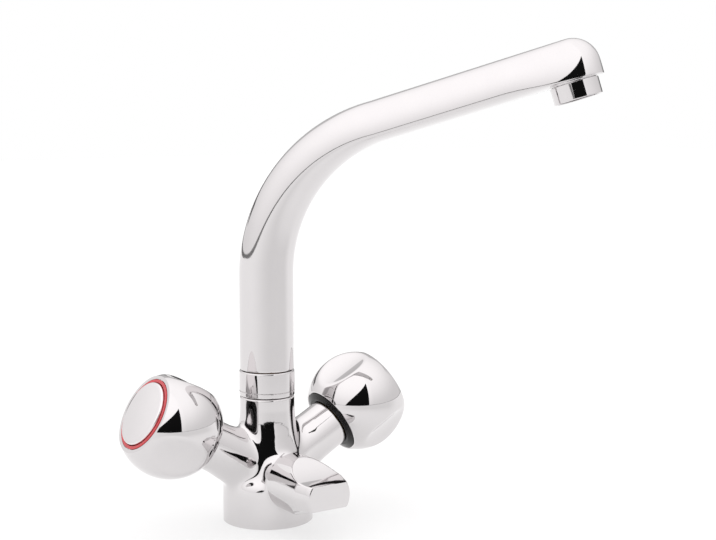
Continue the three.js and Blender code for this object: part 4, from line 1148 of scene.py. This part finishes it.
# %% Sizes of the tent: bearings, heights and shades
WALLS = 0.91
LAMP = 0.52
LAMP_AT = (math.radians(-150), math.radians(75))
LAMP_SPREAD = (-0.1, 0.95)  # cosines at which its glow starts and is full
OPENING_RIGHT = math.radians(-93)
OPENING_LEFT = math.radians(-151)
OPENING_BOTTOM = math.radians(-4)
OPENING_TOP = math.radians(48)
OPENING_LEAN = 0.04
OPENING_BELLY = 0.8  # below 1, so the slanting edge bulges
OPENING_SHADE = 0.994
RIGHT_SIDE_START = (OPENING_RIGHT, OPENING_RIGHT + 0.25)
RIGHT_SIDE_END = (0.5, 1.9)
RIGHT_SIDE_SHADE = 0.06
BACKDROP_TOP = math.radians(34)
BACKDROP_START = (0.0, 0.3)
BACKDROP_END = (1.45, 1.6)
BACKDROP_SHADE = 0.36
HORIZON = math.radians(-0.4)
HORIZON_SHADE = 0.78
STRIPE_LOW = math.radians(4)
STRIPE_HIGH = math.radians(9)
STRIPE_RIGHT = math.radians(15)
STRIPE_LEFT = math.radians(100)
STRIPE_SHADE = 0.85

# %% Directions and zones of the tent
world = bpy.data.worlds.new("tent")
bpy.context.scene.world = world
world.use_nodes = True
sky = Shader(world.node_tree)
way = sky.node("ShaderNodeTexCoord", {}, output="Generated")
x, y, z = sky.split(way)
azimuth = sky.node("ShaderNodeMath", {"operation": "ARCTAN2"}, y, x)
elevation = sky.node("ShaderNodeMath", {"operation": "ARCSINE"}, z)

slant = (azimuth - OPENING_LEFT) / (OPENING_RIGHT - OPENING_LEFT)
belly = sky.node("ShaderNodeMath", {"operation": "POWER"}, slant, OPENING_BELLY)
top_edge = OPENING_BOTTOM + belly * (OPENING_TOP - OPENING_BOTTOM)
opening = (azimuth < OPENING_RIGHT + OPENING_LEAN * elevation) * (azimuth > OPENING_LEFT)
opening = opening * (elevation > OPENING_BOTTOM) * (elevation < top_edge)

turn, lift = LAMP_AT
lamp = (math.cos(lift) * math.cos(turn), math.cos(lift) * math.sin(turn), math.sin(lift))
facing = sky.node("ShaderNodeVectorMath", {"operation": "DOT_PRODUCT"}, way, lamp, output="Value")
glow = sky.eased(facing, *LAMP_SPREAD)

right_side = sky.eased(azimuth, *RIGHT_SIDE_START) * (1 - sky.eased(azimuth, *RIGHT_SIDE_END))
backdrop = (elevation < BACKDROP_TOP) * sky.eased(azimuth, *BACKDROP_START)
backdrop = backdrop * (1 - sky.eased(azimuth, *BACKDROP_END))
stripe = (elevation > STRIPE_LOW) * (elevation < STRIPE_HIGH)
stripe = stripe * (azimuth > STRIPE_RIGHT) * (azimuth < STRIPE_LEFT)

# %% Brightness of the tent
brightness = WALLS + glow * LAMP - right_side * RIGHT_SIDE_SHADE
shades = [
    (BACKDROP_SHADE, backdrop), (HORIZON_SHADE, elevation < HORIZON), (STRIPE_SHADE, stripe),
    (OPENING_SHADE, opening),
]
for depth, zone in shades:
    brightness = brightness * (1 - depth * zone)
walls = sky.node("ShaderNodeBackground", {}, Color=(1.0, 0.988, 0.99, 1), Strength=brightness)
white = sky.node("ShaderNodeBackground", {}, Color=(1, 1, 1, 1), Strength=1.0)
seen = sky.node("ShaderNodeLightPath", {}, output="Is Camera Ray")
sky.node("ShaderNodeOutputWorld", {}, sky.node("ShaderNodeMixShader", {}, seen, walls, white))
print("nodes in the tent's shader", len(world.node_tree.nodes))

# %% [markdown]
# The table is lit from below, as for a catalogue picture, so it stays white round the mixer.
# Towards the camera, where the picture ends, it is a little darker.

# %% Floor
CAMERA_WAY = Vector((0.554, 0.833, 0)).normalized()
FLOOR_HALF = 4.0
SHADE_AWAY = (0.14, 0.45)  # the shade starts and is full this far from the mixer, in metres
SHADE_LEFT = (-1.2, 0.4)  # and at these bearings from the way to the camera
SHADE_RIGHT = (1.4, 2.0)
GLOW = 0.57
GLOW_SHADE = (0.66, 0.66, 0.66)
bpy.ops.object.select_all(action="DESELECT")
bpy.ops.mesh.primitive_plane_add(size=2 * FLOOR_HALF, location=(0, 0, 0))
floor = bpy.context.object
floor.name = floor.data.name = "studio_floor"
lit = finish_of("floor")
place = lit.node("ShaderNodeTexCoord", {}, output="Object")
x, y, z = lit.split(place)
away = lit.node("ShaderNodeVectorMath", {"operation": "LENGTH"}, place, output="Value")
ahead = x * -CAMERA_WAY.x + y * -CAMERA_WAY.y
aside = x * CAMERA_WAY.y + y * -CAMERA_WAY.x
bearing = lit.node("ShaderNodeMath", {"operation": "ARCTAN2"}, aside, ahead)
shade = lit.eased(away, *SHADE_AWAY) * lit.eased(bearing, *SHADE_LEFT)
shade = shade * (1 - lit.eased(bearing, *SHADE_RIGHT))
lit.surface(
    Base_Color=lit.mixed(lit.noise(0.15), (0.40, 0.40, 0.40), (0.42, 0.42, 0.42)),
    Roughness=0.9,
    Emission_Color=lit.mixed(shade, (1, 1, 1), GLOW_SHADE),
    Emission_Strength=GLOW,
)
floor.data.materials.append(materials["floor"])

# %% Camera, at the photograph's place
CAMERA_AT = Vector((-377.42, -654.79, 226.04)) * MM
CAMERA_PITCH = math.radians(6.98)
camera_data = bpy.data.cameras.new("camera")
camera_data.lens = 72.55
camera_data.sensor_width = 36
camera_data.clip_start = 0.01
camera = bpy.data.objects.new("camera", camera_data)
bpy.context.scene.collection.objects.link(camera)
look = CAMERA_WAY * math.cos(CAMERA_PITCH) - Vector((0, 0, math.sin(CAMERA_PITCH)))
camera.location = CAMERA_AT
camera.rotation_euler = look.to_track_quat("-Z", "Y").to_euler()
bpy.context.scene.camera = camera
bpy.context.scene.view_settings.view_transform = "Standard"
print("camera", round(CAMERA_AT.length, 3), "metres from the base")
